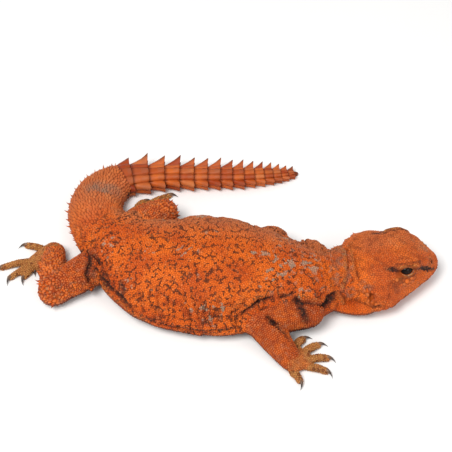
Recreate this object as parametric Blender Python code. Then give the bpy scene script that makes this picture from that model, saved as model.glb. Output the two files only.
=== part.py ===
# A red spiny-tailed lizard (uromastyx) at life size, basking flat on its belly with the tail curled round.
# The code works in millimetres and the meshes are stored in metres, +Z up, head towards +X.
# Run with: blender --background --python part.py
import math
import random

import bmesh
import bpy
import numpy as np
from mathutils import Matrix, Vector

millimetre = 0.001
gap = 0.3  # clearance between neighbouring nodes
stanceMiddle = Vector((-6.0, -18.0, 0.0))  # middle of the footprint, which becomes the origin
up = Vector((0, 0, 1))

# Spine stations from the nape to the tail tip, seen from above. Each has its place (x, y), half width,
# back height, height of the widest line, and height of the underside.
spineStations = {
    "nape": (66.0, -30.0, 17.5, 25.0, 13.0, 4.5),
    "collar": (61.5, -30.96, 16.2, 24.6, 12.8, 3.8),
    "neck": (56.0, -33.5, 15.5, 24.5, 12.5, 3.0),
    "shoulders": (43.0, -36.5, 21.0, 29.0, 12.0, 0.0),
    "chest": (23.0, -35.0, 28.5, 33.5, 11.0, 0.0),
    "midriff": (-6.0, -31.0, 36.0, 35.5, 10.5, 0.0),
    "loin": (-34.0, -25.5, 32.5, 32.0, 10.5, 0.0),
    "hips": (-54.5, -12.0, 22.5, 26.0, 10.0, 0.0),
    "vent": (-66.5, 2.0, 16.0, 20.5, 9.0, 0.0),
    "tailRoot": (-72.0, 17.0, 14.3, 18.0, 8.0, 0.0),
    "tailBend": (-68.3, 32.0, 13.0, 15.5, 7.0, 0.0),
    "tailShoulder": (-58.0, 41.5, 10.2, 13.0, 6.0, 0.0),
    "tailStraight": (-43.0, 44.5, 7.4, 11.0, 5.5, 0.0),
    "tailMiddle": (-14.0, 45.5, 6.1, 9.6, 4.8, 0.0),
    "tailThin": (13.0, 46.0, 5.1, 8.2, 4.1, 0.0),
    "tailTaper": (32.0, 48.6, 3.1, 5.4, 2.6, 0.0),
    "tailTip": (41.5, 51.0, 1.0, 2.4, 1.1, 0.0),
}
stationNames = list(spineStations)
sideExponent = 0.92
backExponent = 1.1  # above 1 the back comes to a low ridge
bellyExponent = 0.8
bellyPress = 1.6  # how far the round belly is pressed flat against the floor

# The tail: fine whorls round the bend, then wide rings of spiny scales.
baseWhorls = 8
ringWhorls = 14
middleWhorls = 6  # ring whorls on the tail's middle length
firstRingLength = 9.4
lastRingLength = 3.8
bareTip = 3.0
baseSpines = 11
ringSpines = 9
ringFlare = 0.07
ringSpineLow = 0.16  # height of a spine as a share of its whorl, on the back and at the sides
ringSpineHigh = 0.42

neckFolds = 3
neckFoldDepth = 0.05

torsoSides = 32
tailSides = 18
limbSides = 10
toeSides = 6

# Head sections from the nape to the snout, in the head's own frame: x forward, y to its left, z up.
# Each row has x, then the half widths at brow, eye, cheek, lip and jaw.
headWidths = {
    0.0: (10.0, 15.0, 18.5, 18.5, 13.0),
    6.0: (11.5, 18.3, 21.8, 22.2, 16.0),
    12.0: (12.2, 19.6, 22.6, 22.8, 17.0),
    19.0: (12.4, 17.4, 20.2, 20.4, 15.0),
    26.0: (13.2, 14.2, 16.8, 16.8, 12.0),
    33.0: (10.4, 11.4, 13.0, 13.0, 9.0),
    39.0: (6.8, 8.0, 9.6, 9.6, 6.6),
    43.5: (3.6, 4.6, 5.9, 5.9, 4.0),
    46.0: (1.6, 2.0, 2.5, 2.5, 1.7),
}
# Heights on the same sections: crown, brow, eye, cheek, lip, jaw and chin.
headHeights = {
    0.0: (25.0, 23.5, 19.5, 13.5, 9.5, 5.5, 4.5),
    6.0: (26.8, 25.2, 20.2, 13.6, 9.2, 4.2, 3.2),
    12.0: (28.0, 26.6, 20.6, 13.2, 8.6, 3.6, 2.7),
    19.0: (28.6, 27.4, 21.0, 13.2, 8.6, 3.7, 2.8),
    26.0: (28.4, 27.8, 21.6, 13.4, 9.0, 4.2, 3.3),
    33.0: (25.6, 24.8, 19.6, 13.2, 9.4, 5.0, 4.1),
    39.0: (21.6, 20.6, 16.6, 12.6, 9.6, 5.9, 5.2),
    43.5: (17.2, 16.4, 14.2, 11.8, 9.6, 7.0, 6.4),
    46.0: (14.0, 13.5, 12.4, 11.0, 9.8, 8.4, 8.0),
}
headYaw = math.radians(12)
snoutTip = Vector((46.8, 0, 10.9))
headSides = 28
eyeCentre = Vector((24.8, 9.8, 21.4))
eyeFacing = Vector((-0.05, 0.8, 0.6))  # the way the left eye looks out
eyeRadius = 4.4
lidThickness = 1.0
lidOpening = (4.2, 2.6)  # half length and half height of the slit between the lids
mouthCorner = 13.5
mouthGroove = 0.5
earPlace = Vector((4.4, 18.9, 15.4))
earSize = (1.3, 2.6, 3.2)
earScales = 3
nostrilPlace = Vector((40.2, 6.0, 19.0))
nostrilRadius = 1.0
lipTurn = 122.0  # degrees from the crown round to the line of the mouth

# Limb joints and their radii (sideways, upwards).
rightArm = {
    "shoulder": (Vector((40.5, -53.8, 13.2)), (9.8, 10.0)),
    "elbow": (Vector((17, -59.4, 11.6)), (8.9, 9.2)),
    "wrist": (Vector((32.5, -79.5, 5.0)), (5.6, 4.6)),
}
rightFingers = (
    (Vector((35.5, -68.5, 3)), Vector((40.5, -63.0, 2))),
    (Vector((40.0, -72.5, 3)), Vector((48.5, -66.8, 2))),
    (Vector((41.5, -77.2, 3)), Vector((53.0, -75.5, 2))),
    (Vector((40.7, -81.2, 3)), Vector((52.0, -84.0, 2))),
    (Vector((33.5, -84.5, 3)), Vector((38.2, -91.0, 2))),
)
leftArm = {
    "shoulder": (Vector((38, -25, 14)), (8.5, 8.5)),
    "elbow": (Vector((24, -10.0, 13.5)), (6.6, 6.8)),
    "wrist": (Vector((41, -14.0, 4.6)), (4.8, 4.2)),
}
leftFingers = (
    (Vector((46.5, -18.0, 3)), Vector((54.0, -21.0, 2))),
    (Vector((48.0, -16.5, 3)), Vector((57.5, -18.8, 2))),
    (Vector((48.0, -14.5, 3)), Vector((58.5, -15.5, 2))),
    (Vector((47.0, -12.5, 3)), Vector((57.0, -12.3, 2))),
    (Vector((43.5, -10.5, 3)), Vector((49.5, -7.5, 2))),
)
rightLeg = {
    "hip": (Vector((-60, -18, 11)), (10.5, 10.0)),
    "knee": (Vector((-90, -38.5, 8.4)), (7.8, 8.2)),
    "ankle": (Vector((-92.5, -10, 5.2)), (5.6, 5.0)),
}
rightToes = (
    (Vector((-100.0, -16.0, 3)), Vector((-103.0, -19.5, 2))),
    (Vector((-101.5, -16.5, 3)), Vector((-109.0, -25.5, 2))),
    (Vector((-103.0, -15.5, 3)), Vector((-116.5, -25.5, 2))),
    (Vector((-103.5, -13.5, 3)), Vector((-122.0, -18.0, 2))),
    (Vector((-97.0, -7.0, 3)), Vector((-110.0, -1.6, 2))),
)
leftLeg = {
    "hip": (Vector((-47, 0, 13)), (10.0, 9.5)),
    "knee": (Vector((-34, 11.5, 11.5)), (7.8, 8.4)),
    "ankle": (Vector((-51, 15, 5.0)), (4.8, 4.6)),
}
leftToes = (
    (Vector((-42.0, 21.0, 3)), Vector((-37.5, 22.0, 2))),
    (Vector((-42.5, 22.5, 3)), Vector((-34.5, 25.5, 2))),
    (Vector((-43.5, 24.0, 3)), Vector((-33.0, 30.0, 2))),
    (Vector((-45.0, 25.0, 3)), Vector((-30.5, 35.0, 2))),
    (Vector((-50.0, 24.0, 3)), Vector((-44.5, 30.5, 2))),
)
fingerRadius = 2.1
toeRadius = 1.9
clawLength = 4.6
clawRadius = 0.95
tubercleClear = 2.2  # bare skin left where two lengths of a limb meet
clawSunk = 1.6
clawClear = 0.3
clawSides = 5
clawHook = 1.2  # how far a claw curves towards the outer side of the foot

skinOrange = (0.55, 0.13, 0.025, 1)
tailBrown = (0.40, 0.11, 0.035, 1)
toeTan = (0.42, 0.20, 0.07, 1)
eyeBlack = (0.01, 0.008, 0.006, 1)


def cubic(knots, values, at):
    # Smooth curve through the values, with slopes from their neighbours.
    knots = np.asarray(knots, float)
    values = np.asarray(values, float)
    slopes = np.gradient(values, knots, axis=0)
    at = np.atleast_1d(np.asarray(at, float))
    i = np.clip(np.searchsorted(knots, at) - 1, 0, len(knots) - 2)
    span = knots[i + 1] - knots[i]
    t = (at - knots[i]) / span
    if values.ndim > 1:
        t = t[:, None]
        span = span[:, None]
    t2 = t * t
    t3 = t2 * t
    return (
        (2 * t3 - 3 * t2 + 1) * values[i]
        + (t3 - 2 * t2 + t) * span * slopes[i]
        + (3 * t2 - 2 * t3) * values[i + 1]
        + (t3 - t2) * span * slopes[i + 1]
    )


stationTable = np.array([spineStations[n] for n in stationNames])
stationSteps = np.hypot(*np.diff(stationTable[:, :2], axis=0).T)
stationAt = np.concatenate([[0.0], np.cumsum(stationSteps)])
spineLength = float(stationAt[-1])


def along(name):
    return float(stationAt[stationNames.index(name)])


def spineAt(s):
    # Centre on the floor, direction to the animal's left, direction to the tail, and the section's sizes.
    row = cubic(stationAt, stationTable, s)[0]
    ends = [max(s - 0.5, 0.0), min(s + 0.5, spineLength)]
    ahead = np.diff(cubic(stationAt, stationTable[:, :2], ends), axis=0)[0]
    tailward = Vector((ahead[0], ahead[1], 0)).normalized()
    return Vector((row[0], row[1], 0)), Vector((tailward.y, -tailward.x, 0)), tailward, row[2:]


def sectionPoint(s, angle, swell=1.0, grow=0.0):
    # A point of the body's surface: angle 0 is the animal's left and 90 degrees is the back.
    centre, left, _, (half, top, widest, bottom) = spineAt(s)
    c, d = math.cos(angle), math.sin(angle)
    out = half * swell * math.copysign(abs(c) ** sideExponent, c) + grow * c
    if d >= 0:
        z = widest + (top * swell - widest) * d**backExponent
    else:
        z = widest - (widest - bottom + bellyPress) * (-d) ** bellyExponent
    z = max(z + grow * d, max(bottom, 0.0) - grow)
    return centre + left * out + up * z


def outwardAt(s, angle):
    # Unit normal of the body's surface, from its neighbours.
    step = 0.05
    across = sectionPoint(s, angle + step) - sectionPoint(s, angle - step)
    lengthwise = sectionPoint(min(s + 0.5, spineLength), angle) - sectionPoint(s - 0.5, angle)
    return across.cross(lengthwise).normalized() * -1


def loft(rings, tip=None, start=None):
    # A closed bmesh through rings of equally many points. A flat end is one face, and a tip closes on a point.
    mesh = bmesh.new()
    made = [[mesh.verts.new(p) for p in ring] for ring in rings]
    sides = len(rings[0])
    for a, b in zip(made, made[1:]):
        for i in range(sides):
            j = (i + 1) % sides
            mesh.faces.new((a[i], a[j], b[j], b[i]))
    for ring, point in ((made[0], start), (made[-1], tip)):
        if point is None:
            mesh.faces.new(ring)
        else:
            apex = mesh.verts.new(point)
            for i in range(sides):
                mesh.faces.new((ring[i], ring[(i + 1) % sides], apex))
    bmesh.ops.recalc_face_normals(mesh, faces=mesh.faces)
    return mesh


def material(name, colour, roughness=0.7):
    made = bpy.data.materials.get(name) or bpy.data.materials.new(name)
    made.use_nodes = True
    shader = made.node_tree.nodes["Principled BSDF"]
    shader.inputs["Base Color"].default_value = colour
    shader.inputs["Roughness"].default_value = roughness
    return made


def addObject(name, mesh, collection, finish=None):
    # Turns a bmesh in millimetres into an object in metres.
    data = bpy.data.meshes.new(name)
    mesh.to_mesh(data)
    mesh.free()
    data.transform(Matrix.Scale(millimetre, 4) @ Matrix.Translation(-stanceMiddle))
    made = bpy.data.objects.new(name, data)
    collection.objects.link(made)
    if finish:
        data.materials.append(finish)
    return made


def boolean(target, operation, others, solver="EXACT"):
    # Applies one Boolean of target with a collection of closed meshes, which are then removed.
    group = bpy.data.collections.new("operands")
    bpy.context.scene.collection.children.link(group)
    for other in others:
        for owner in list(other.users_collection):
            owner.objects.unlink(other)
        group.objects.link(other)
    modifier = target.modifiers.new(operation.lower(), "BOOLEAN")
    modifier.operation = operation
    modifier.operand_type = "COLLECTION"
    modifier.collection = group
    modifier.solver = solver
    bpy.context.view_layer.update()
    graph = bpy.context.evaluated_depsgraph_get()
    done = bpy.data.meshes.new_from_object(target.evaluated_get(graph))
    target.modifiers.remove(modifier)
    old = target.data
    target.data = done
    bpy.data.meshes.remove(old)
    for other in others:
        bpy.data.objects.remove(other)
    bpy.data.collections.remove(group)
    keepLargest(target)
    return target


def keepLargest(target):
    # Keeps only the largest closed surface of the object.
    mesh = bmesh.new()
    mesh.from_mesh(target.data)
    waiting = set(mesh.verts)
    islands = []
    while waiting:
        island = {waiting.pop()}
        edge = list(island)
        while edge:
            nearby = {e.other_vert(v) for v in edge for e in v.link_edges}
            edge = list(nearby - island)
            island |= nearby
        waiting -= island
        islands.append(island)

    def reach(island):
        corners = [v.co for v in island]
        return sum(max(c[i] for c in corners) - min(c[i] for c in corners) for i in range(3))

    largest = max(islands, key=reach)
    bmesh.ops.delete(mesh, geom=[v for v in mesh.verts if v not in largest], context="VERTS")
    mesh.to_mesh(target.data)
    mesh.free()


def bodyLoft(start, end, rings, sides, grow=0.0, folds=0, depth=0.0):
    made = []
    for k in range(rings):
        share = k / (rings - 1)
        s = start + (end - start) * share
        swell = 1.0 + depth * (math.sin(math.pi * folds * share) ** 2 if folds else 0.0)
        made.append([sectionPoint(s, 2 * math.pi * i / sides, swell, grow) for i in range(sides)])
    return loft(made)


def limbSection(points, radii, share):
    # Centre, side and lift directions, and radii, at a share of a limb's length.
    knots = np.concatenate([[0], np.cumsum([(b - a).length for a, b in zip(points, points[1:])])])
    at = share * knots[-1]
    place = Vector(cubic(knots, np.array(points), at)[0])
    size = cubic(knots, np.array(radii), at)[0]
    step = 0.02 * knots[-1]
    ends = cubic(knots, np.array(points), [max(at - step, 0), min(at + step, knots[-1])])
    heading = Vector(ends[1] - ends[0]).normalized()
    side = heading.cross(up).normalized()
    return place, heading, side, side.cross(heading).normalized(), size


def tube(points, radii, sides, grow=0.0, rings=6, capShares=(0.45, 0.8)):
    # A limb: elliptical rings along a smooth path, with rounded ends, pressed flat where it meets the floor.
    turn = 0.5 * (sides % 4 == 0)

    def ring(place, side, lift, across, tall):
        found = []
        for i in range(sides):
            angle = 2 * math.pi * (i + turn) / sides
            p = place + side * math.cos(angle) * across + lift * math.sin(angle) * tall
            p.z = max(p.z, -grow)
            found.append(p)
        return found

    made = []
    ends = []
    for k in range(rings):
        place, heading, side, lift, size = limbSection(points, radii, k / (rings - 1))
        across, tall = size[0] + grow, size[1] + grow
        made.append(ring(place, side, lift, across, tall))
        if k in (0, rings - 1):
            way = -1 if k == 0 else 1
            reach = heading * way * min(across, tall)
            caps = []
            for share in capShares:
                shrink = math.sqrt(1 - share * share)
                caps.append(ring(place + reach * share, side, lift, across * shrink, tall * shrink))
            point = place + reach
            point.z = max(point.z, -grow)
            ends.append((caps, point))
    (startCaps, start), (endCaps, tip) = ends
    return loft(startCaps[::-1] + made + endCaps, tip, start)


def pyramid(base, outward, tip, sunk):
    # A small spine: four base corners, sunk under the skin, and a point.
    return loft([[p - outward * sunk for p in base]], tip)


def near(point, rows):
    # Whether a point lies in or close to one of these limbs.
    for points, radii in rows:
        for k in range(13):
            place, _, _, _, size = limbSection(points, radii, k / 12)
            if (point - place).length < max(size) + tubercleClear:
                return True
    return False


def tubercles(row, others, shares, angles, height, spread=1.5):
    # Staggered rows of small spines over a limb, each leaning towards the limb's end.
    made = []
    points, radii = row
    for j, share in enumerate(shares):
        place, heading, side, lift, (across, tall) = limbSection(points, radii, share)
        for k, angle in enumerate(angles):
            turned = math.radians(angle + (j % 2) * (angles[1] - angles[0]) / 2 + random.uniform(-4, 4))
            around = -side * math.sin(turned) + lift * math.cos(turned)
            outward = (side * math.cos(turned) + lift * math.sin(turned)).normalized()
            foot = place + side * math.cos(turned) * across + lift * math.sin(turned) * tall
            if near(foot, others):
                continue
            base = [foot + heading * spread, foot + around * spread, foot - heading * spread, foot - around * spread]
            high = height * random.uniform(0.8, 1.15)
            made.append(pyramid(base, outward, foot + outward * high + heading * spread * 0.7, 1.0))
    return made


def spineScale(s, angle, length, spread, height, rise=0.0):
    # A keeled scale on the body: a pyramid from its front edge to a point over its rear edge.
    sunk = 0.9
    ahead, behind = s - length, s
    front = sectionPoint(ahead, angle) - outwardAt(ahead, angle) * sunk
    left = sectionPoint(s - length * 0.3, angle - spread) - outwardAt(s - length * 0.3, angle - spread) * sunk
    right = sectionPoint(s - length * 0.3, angle + spread) - outwardAt(s - length * 0.3, angle + spread) * sunk
    back = sectionPoint(behind, angle) - outwardAt(behind, angle) * sunk
    tailward = spineAt(s)[2]
    tip = sectionPoint(s, angle) + outwardAt(s, angle) * height + tailward * length * 0.12 + up * rise
    return loft([[front, left, back, right]], tip)


def claw(root, heading, length, radius, hook):
    # A curved claw: rings that shrink, arch up, then turn down and sideways to a point just above the floor.
    side = heading.cross(up).normalized()
    steps = 4
    rings = []
    for k in range(steps):
        share = k / steps
        arch = 0.9 * math.sin(math.pi * min(share + 0.15, 1)) - 0.5 * share
        at = root + heading * (share * (length + clawSunk) - clawSunk) + side * hook * share**2 + up * arch
        size = radius * (1 - share * 0.7)
        ring = []
        for i in range(clawSides):
            angle = 2 * math.pi * (i + 0.5) / clawSides
            p = at + side * math.cos(angle) * size + up * math.sin(angle) * size
            p.z = max(p.z, clawClear)
            ring.append(p)
        rings.append(ring)
    tip = root + heading * length + side * hook
    tip.z = clawClear
    return loft(rings, tip)


def buildFoot(name, wristRow, digits, digitRadius, hook, collection, finish, cutters):
    # Palm, five digits and their claws, joined, then cut clear of what they grow from.
    wrist, (across, tall) = wristRow
    knuckles = sum((d[0] for d in digits[1:4]), Vector()) / 3
    knuckles.z = digitRadius * 0.95
    places = [wrist, (wrist + knuckles) / 2, knuckles]
    sizes = [(across, tall), (across * 1.05, tall * 0.85), (across * 0.95, digitRadius * 1.25)]
    made = addObject(name, tube(places, sizes, limbSides, rings=4), collection, finish)
    pieces = []
    for root, tip in digits:
        heading = tip - root
        heading.z = 0
        heading.normalize()
        end = root + heading * ((tip - root).length - clawLength * 0.8)
        end.z = digitRadius * 0.62
        inner = root + (knuckles - root) * 0.35 + (wrist - root) * 0.12
        inner.z = digitRadius
        low = Vector((root.x, root.y, digitRadius * 0.8))
        places = [inner, low, (root + end) / 2 + up * 0.5, end]
        sizes = [(digitRadius * size,) * 2 for size in (1.0, 1.02, 0.98, 0.8)]
        digit = tube(places, sizes, toeSides, rings=4, capShares=(0.6,))
        pieces.append(addObject("digit", digit, collection))
        nail = claw(end + heading * digitRadius * 0.5, heading, clawLength, clawRadius, hook)
        pieces.append(addObject("claw", nail, collection))
    boolean(made, "UNION", pieces)
    boolean(made, "DIFFERENCE", cutters)
    return made


def buildLimb(names, joints, digits, digitRadius, hook, collection, finishes, torsoCutters, spiny):
    # Upper limb, lower limb and foot. Each is cut clear of what comes before it.
    (rootPlace, rootSize), (bendPlace, bendSize), (endPlace, endSize) = joints.values()
    upperMiddle = (rootPlace + bendPlace) / 2 + up * 0.6
    upperSize = tuple((a + b) / 2 * 1.02 for a, b in zip(rootSize, bendSize))
    upperRow = ([rootPlace, upperMiddle, bendPlace], [rootSize, upperSize, bendSize])
    lowerMiddle = (bendPlace * 0.6 + endPlace * 0.4) + up * 0.5
    lowerSize = tuple(a * 0.62 + b * 0.38 for a, b in zip(bendSize, endSize))
    lowerRow = ([bendPlace, lowerMiddle, endPlace], [tuple(0.88 * a for a in bendSize), lowerSize, endSize])
    upper = addObject(names[0], tube(*upperRow, limbSides), collection, finishes[0])
    lower = addObject(names[1], tube(*lowerRow, limbSides), collection, finishes[0])
    knuckles = sum((d[0] for d in digits[1:4]), Vector()) / 3
    palmRow = ([endPlace, (endPlace + knuckles) / 2, knuckles], [endSize] * 3)
    for made, row, others, rows in (
        (upper, upperRow, [lowerRow], spiny[0]),
        (lower, lowerRow, [upperRow, palmRow], spiny[1]),
    ):
        if rows:
            spines = [addObject("tubercle", m, collection) for m in tubercles(row, others, *rows)]
            boolean(made, "UNION", spines, "MANIFOLD")
    boolean(upper, "DIFFERENCE", torsoCutters())
    grownUpper = tube(*upperRow, limbSides, grow=gap)
    boolean(lower, "DIFFERENCE", torsoCutters() + [addObject("cut", grownUpper, collection)])
    cutters = torsoCutters()
    cutters += [addObject("cut", tube(*row, limbSides, grow=gap), collection) for row in (upperRow, lowerRow)]
    buildFoot(names[2], joints[list(joints)[2]], digits, digitRadius, hook, collection, finishes[1], cutters)


def whorlEdges():
    # Rear edge of each whorl, and its length.
    start, end = along("vent") + 4, spineLength - bareTip
    rings = np.linspace(firstRingLength, lastRingLength, ringWhorls)
    baseLength = (end - start - rings.sum()) / baseWhorls
    lengths = [baseLength] * baseWhorls + list(rings)
    edges = start + np.cumsum(lengths)
    return list(zip(edges, lengths))


def tailRings(start, end):
    # Sections of the tail with each whorl flared towards its rear edge.
    rings = []
    at = start
    for k, (edge, length) in enumerate(whorlEdges()):
        flare = ringFlare if k >= baseWhorls else ringFlare * 0.3
        for share, swell in ((0.04, 1 - flare * 0.7), (0.5, 1 + flare * 0.1), (0.96, 1 + flare)):
            s = edge - length * (1 - share)
            if at < s < end:
                rings.append((s, swell))
    return [(start, 1.0)] + rings + [(end, 1.0)]


def buildTail(name, start, end, collection, finish, closeTip=False):
    rings = [
        [sectionPoint(s, 2 * math.pi * i / tailSides, swell) for i in range(tailSides)]
        for s, swell in tailRings(start, end)
    ]
    tip = None
    if closeTip:
        centre, _, tailward, _ = spineAt(end)
        tip = centre + tailward * 0.8 + up * 1.2
    made = addObject(name, loft(rings, tip), collection, finish)
    scales = []
    for k, (edge, length) in enumerate(whorlEdges()):
        if not start < edge - length / 2 < end:
            continue
        rows = baseSpines if k < baseWhorls else ringSpines
        for i in range(rows):
            angle = math.radians(8 + 164 * i / (rows - 1))
            lateral = abs(math.cos(angle)) ** 2
            if k < baseWhorls:
                height = 0.7 + 1.1 * lateral + random.uniform(-0.2, 0.3)
            else:
                height = length * (ringSpineLow + ringSpineHigh * lateral) * random.uniform(0.92, 1.08)
            spread = math.radians(164 / (rows - 1) * 0.47)
            scale = spineScale(edge, angle, length * 0.95, spread, height, rise=height * 0.35 * lateral)
            scales.append(addObject("scale", scale, collection))
    if scales:
        boolean(made, "UNION", scales, "MANIFOLD")
    return made


def headPoint(x, angle):
    # A point of the head's surface: angle 0 is its left cheek, 90 degrees the crown, 270 the chin.
    widths = cubic(list(headWidths), list(headWidths.values()), x)[0]
    heights = cubic(list(headHeights), list(headHeights.values()), x)[0]
    brow, eye, cheek, lip, jaw = widths
    half = [(0, heights[0]), (brow, heights[1]), (eye, heights[2]), (cheek, heights[3]), (lip, heights[4])]
    half += [(jaw, heights[5]), (0, heights[6])]
    turn = (math.degrees(angle) - 90) % 360
    mirrored = turn <= 180
    share = (turn if mirrored else 360 - turn) / 180 * 6
    outline = [(-half[1][0], half[1][1])] + half + [(-half[5][0], half[5][1])]
    y, z = cubic(range(-1, 8), outline, share)[0]
    return Vector((x, -y if mirrored else y, z))


def headToWorld():
    nape = spineStations["nape"]
    return Matrix.Translation((nape[0], nape[1], 0)) @ Matrix.Rotation(headYaw, 4, "Z")


def ball(centre, radii, segments=16, rings=10):
    mesh = bmesh.new()
    bmesh.ops.create_uvsphere(mesh, u_segments=segments, v_segments=rings, radius=1)
    mesh.transform(Matrix.Translation(centre) @ Matrix.Diagonal((*radii, 1)))
    return mesh


def slit(centre, side):
    # A cutter for the opening of one eye: an almond pushed in the way the eye looks out.
    outward = Vector((eyeFacing.x, side * eyeFacing.y, eyeFacing.z)).normalized()
    ahead = (Vector((1, 0, 0)) - outward * outward.x).normalized()
    lift = outward.cross(ahead) * -side
    count = 12
    rings = []
    for depth in (0.0, 1.0):
        ring = []
        for i in range(count):
            angle = 2 * math.pi * i / count
            x = lidOpening[0] * math.cos(angle)
            z = lidOpening[1] * math.copysign(abs(math.sin(angle)) ** 1.2, math.sin(angle))
            reach = 1.5 + depth * 2.5 * eyeRadius
            ring.append(centre + ahead * x + lift * z + outward * reach)
        rings.append(ring)
    return loft(rings)


def mouthLine():
    # Points along the line of the mouth, from one corner round the snout to the other.
    xs = np.linspace(mouthCorner, 45.8, 11)
    left = [headPoint(x, math.radians(90 - lipTurn)) for x in xs]
    left[0] += Vector((0, -0.4, -0.8))
    front = Vector((snoutTip.x + 0.2, 0, (left[-1].z + snoutTip.z) / 2 - 0.3))
    right = [Vector((p.x, -p.y, p.z)) for p in reversed(left)]
    return left + [front] + right


def grooveCutter(points, radius):
    rings = []
    for k, p in enumerate(points):
        ahead = (points[min(k + 1, len(points) - 1)] - points[max(k - 1, 0)]).normalized()
        side = ahead.cross(up).normalized()
        rings.append([p + side * radius * 2 * c + up * radius * d for c, d in ((1, 0), (0, 1), (-1, 0), (0, -1))])
    return loft(rings)


def buildHead(collection, finish, eyeFinish):
    place = headToWorld()

    def placed(name, mesh, finish=None):
        mesh.transform(place)
        return addObject(name, mesh, collection, finish)

    xs = [gap]
    for a, b in zip(list(headWidths), list(headWidths)[1:]):
        xs += [a + (b - a) * 0.5, b]
    rings = [[headPoint(x, 2 * math.pi * i / headSides) for i in range(headSides)] for x in xs]
    head = placed("head", loft(rings, snoutTip), finish)
    added = []
    cutters = [placed("mouth", grooveCutter(mouthLine(), mouthGroove))]
    for side, name in ((-1, "eye_right"), (1, "eye_left")):
        flip = Vector((1, side, 1))
        centre = eyeCentre * flip
        lid = eyeRadius + lidThickness
        added.append(placed("lid", ball(centre, (lid * 1.12, lid, lid * 0.98))))
        cutters.append(placed("socket", ball(centre, (eyeRadius + gap,) * 3)))
        cutters.append(placed("slit", slit(centre, side)))
        cutters.append(placed("ear", ball(earPlace * flip, earSize, 10, 6)))
        cutters.append(placed("nostril", ball(nostrilPlace * flip, (nostrilRadius,) * 3, 8, 6)))
        for k in range(earScales):
            foot = earPlace * flip + Vector((2.6, side * 0.6, (k - 1) * 2.3))
            outward = Vector((0, side, 0))
            base = [foot + Vector(d) for d in ((1.4, 0, 0), (0, 0, 1.1), (-1.0, 0, 0), (0, 0, -1.1))]
            tip = foot + Vector((-2.3, side * 1.3, 0))
            added.append(placed("ear scale", pyramid(base, outward, tip, 1.6)))
        placed(name, ball(centre, (eyeRadius,) * 3, 14, 9), eyeFinish)
    boolean(head, "UNION", added)
    boolean(head, "DIFFERENCE", cutters)
    return head


def clearScene():
    for thing in list(bpy.data.objects):
        bpy.data.objects.remove(thing)


def main():
    random.seed(4)
    clearScene()
    animal = bpy.data.collections.new("uromastyx")
    bpy.context.scene.collection.children.link(animal)
    skin = material("skin", skinOrange)
    tailSkin = material("tail skin", tailBrown)
    toeSkin = material("toe skin", toeTan)
    eye = material("eye", eyeBlack, 0.1)
    neckEnd = along("neck") + 6
    torsoEnd = along("vent") + 4
    edges = [edge for edge, _ in whorlEdges()]
    tailFirst = edges[baseWhorls - 1] + gap
    tailSecond = edges[baseWhorls + middleWhorls - 1] + gap
    half = gap / 2
    addObject("neck", bodyLoft(0, neckEnd - half, 11, torsoSides, 0.0, neckFolds, neckFoldDepth), animal, skin)
    addObject("torso", bodyLoft(neckEnd + half, torsoEnd - half, 22, torsoSides), animal, skin)
    buildTail("tail_base", torsoEnd + half, tailFirst - half, animal, tailSkin)
    buildTail("tail_middle", tailFirst + half, tailSecond - half, animal, tailSkin)
    buildTail("tail_end", tailSecond + half, spineLength, animal, tailSkin, closeTip=True)
    buildHead(animal, skin, eye)

    def torsoCutters():
        return [addObject("cut", bodyLoft(2, torsoEnd + 20, 44, torsoSides, gap), animal)]

    finishes = (skin, toeSkin)
    outer, upper = (120, 150, 180, 210), (20, 55, 90, 125, 160)
    thighSpines = ((0.3, 0.5, 0.7, 0.9), upper, 1.0)
    rightShankSpines = ((0.05, 0.24, 0.43, 0.62), outer, 1.5)
    leftShankSpines = ((0.05, 0.25, 0.45), (-30, 0, 30, 60), 1.5)
    limbs = (
        (("arm_right", "forearm_right", "hand_right"), rightArm, rightFingers, fingerRadius, clawHook, (None, None)),
        (("arm_left", "forearm_left", "hand_left"), leftArm, leftFingers, fingerRadius, -clawHook, (None, None)),
        (
            ("thigh_right", "shank_right", "foot_right"),
            rightLeg, rightToes, toeRadius, -clawHook, (thighSpines, rightShankSpines),
        ),
        (
            ("thigh_left", "shank_left", "foot_left"),
            leftLeg, leftToes, toeRadius, clawHook, (thighSpines, leftShankSpines),
        ),
    )
    for names, joints, digits, radius, hook, spiny in limbs:
        buildLimb(names, joints, digits, radius, hook, animal, finishes, torsoCutters, spiny)
    for thing in animal.objects:
        thing.data.shade_smooth()
        thing.data.set_sharp_from_angle(angle=math.radians(35))


main()
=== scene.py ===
# A red spiny-tailed lizard basking flat on the floor: one skin, solid scales and spines, eyes and claws.
# Shapes are worked out in millimetres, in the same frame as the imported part, and stored in metres.
import math

import bmesh
import bpy
import numpy as np
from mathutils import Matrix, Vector, noise
from mathutils.bvhtree import BVHTree
from mathutils.kdtree import KDTree


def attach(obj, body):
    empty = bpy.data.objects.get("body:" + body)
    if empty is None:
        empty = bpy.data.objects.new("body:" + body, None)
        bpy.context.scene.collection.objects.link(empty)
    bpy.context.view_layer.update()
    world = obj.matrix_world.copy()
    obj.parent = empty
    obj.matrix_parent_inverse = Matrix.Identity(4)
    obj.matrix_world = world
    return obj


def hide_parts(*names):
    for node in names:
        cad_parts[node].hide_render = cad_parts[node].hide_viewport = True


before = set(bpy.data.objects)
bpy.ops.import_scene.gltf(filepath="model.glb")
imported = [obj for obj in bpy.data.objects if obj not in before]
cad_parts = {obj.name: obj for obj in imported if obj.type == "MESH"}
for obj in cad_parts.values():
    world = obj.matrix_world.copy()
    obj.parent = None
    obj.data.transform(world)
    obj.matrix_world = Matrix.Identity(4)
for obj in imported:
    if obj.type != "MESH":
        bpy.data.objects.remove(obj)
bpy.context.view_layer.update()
rng = np.random.default_rng(7)
milli = 0.001
stanceMiddle = np.array([-6.0, -18.0, 0.0])
up = np.array([0, 0, 1.0])
fullTurn = 2 * math.pi

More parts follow.
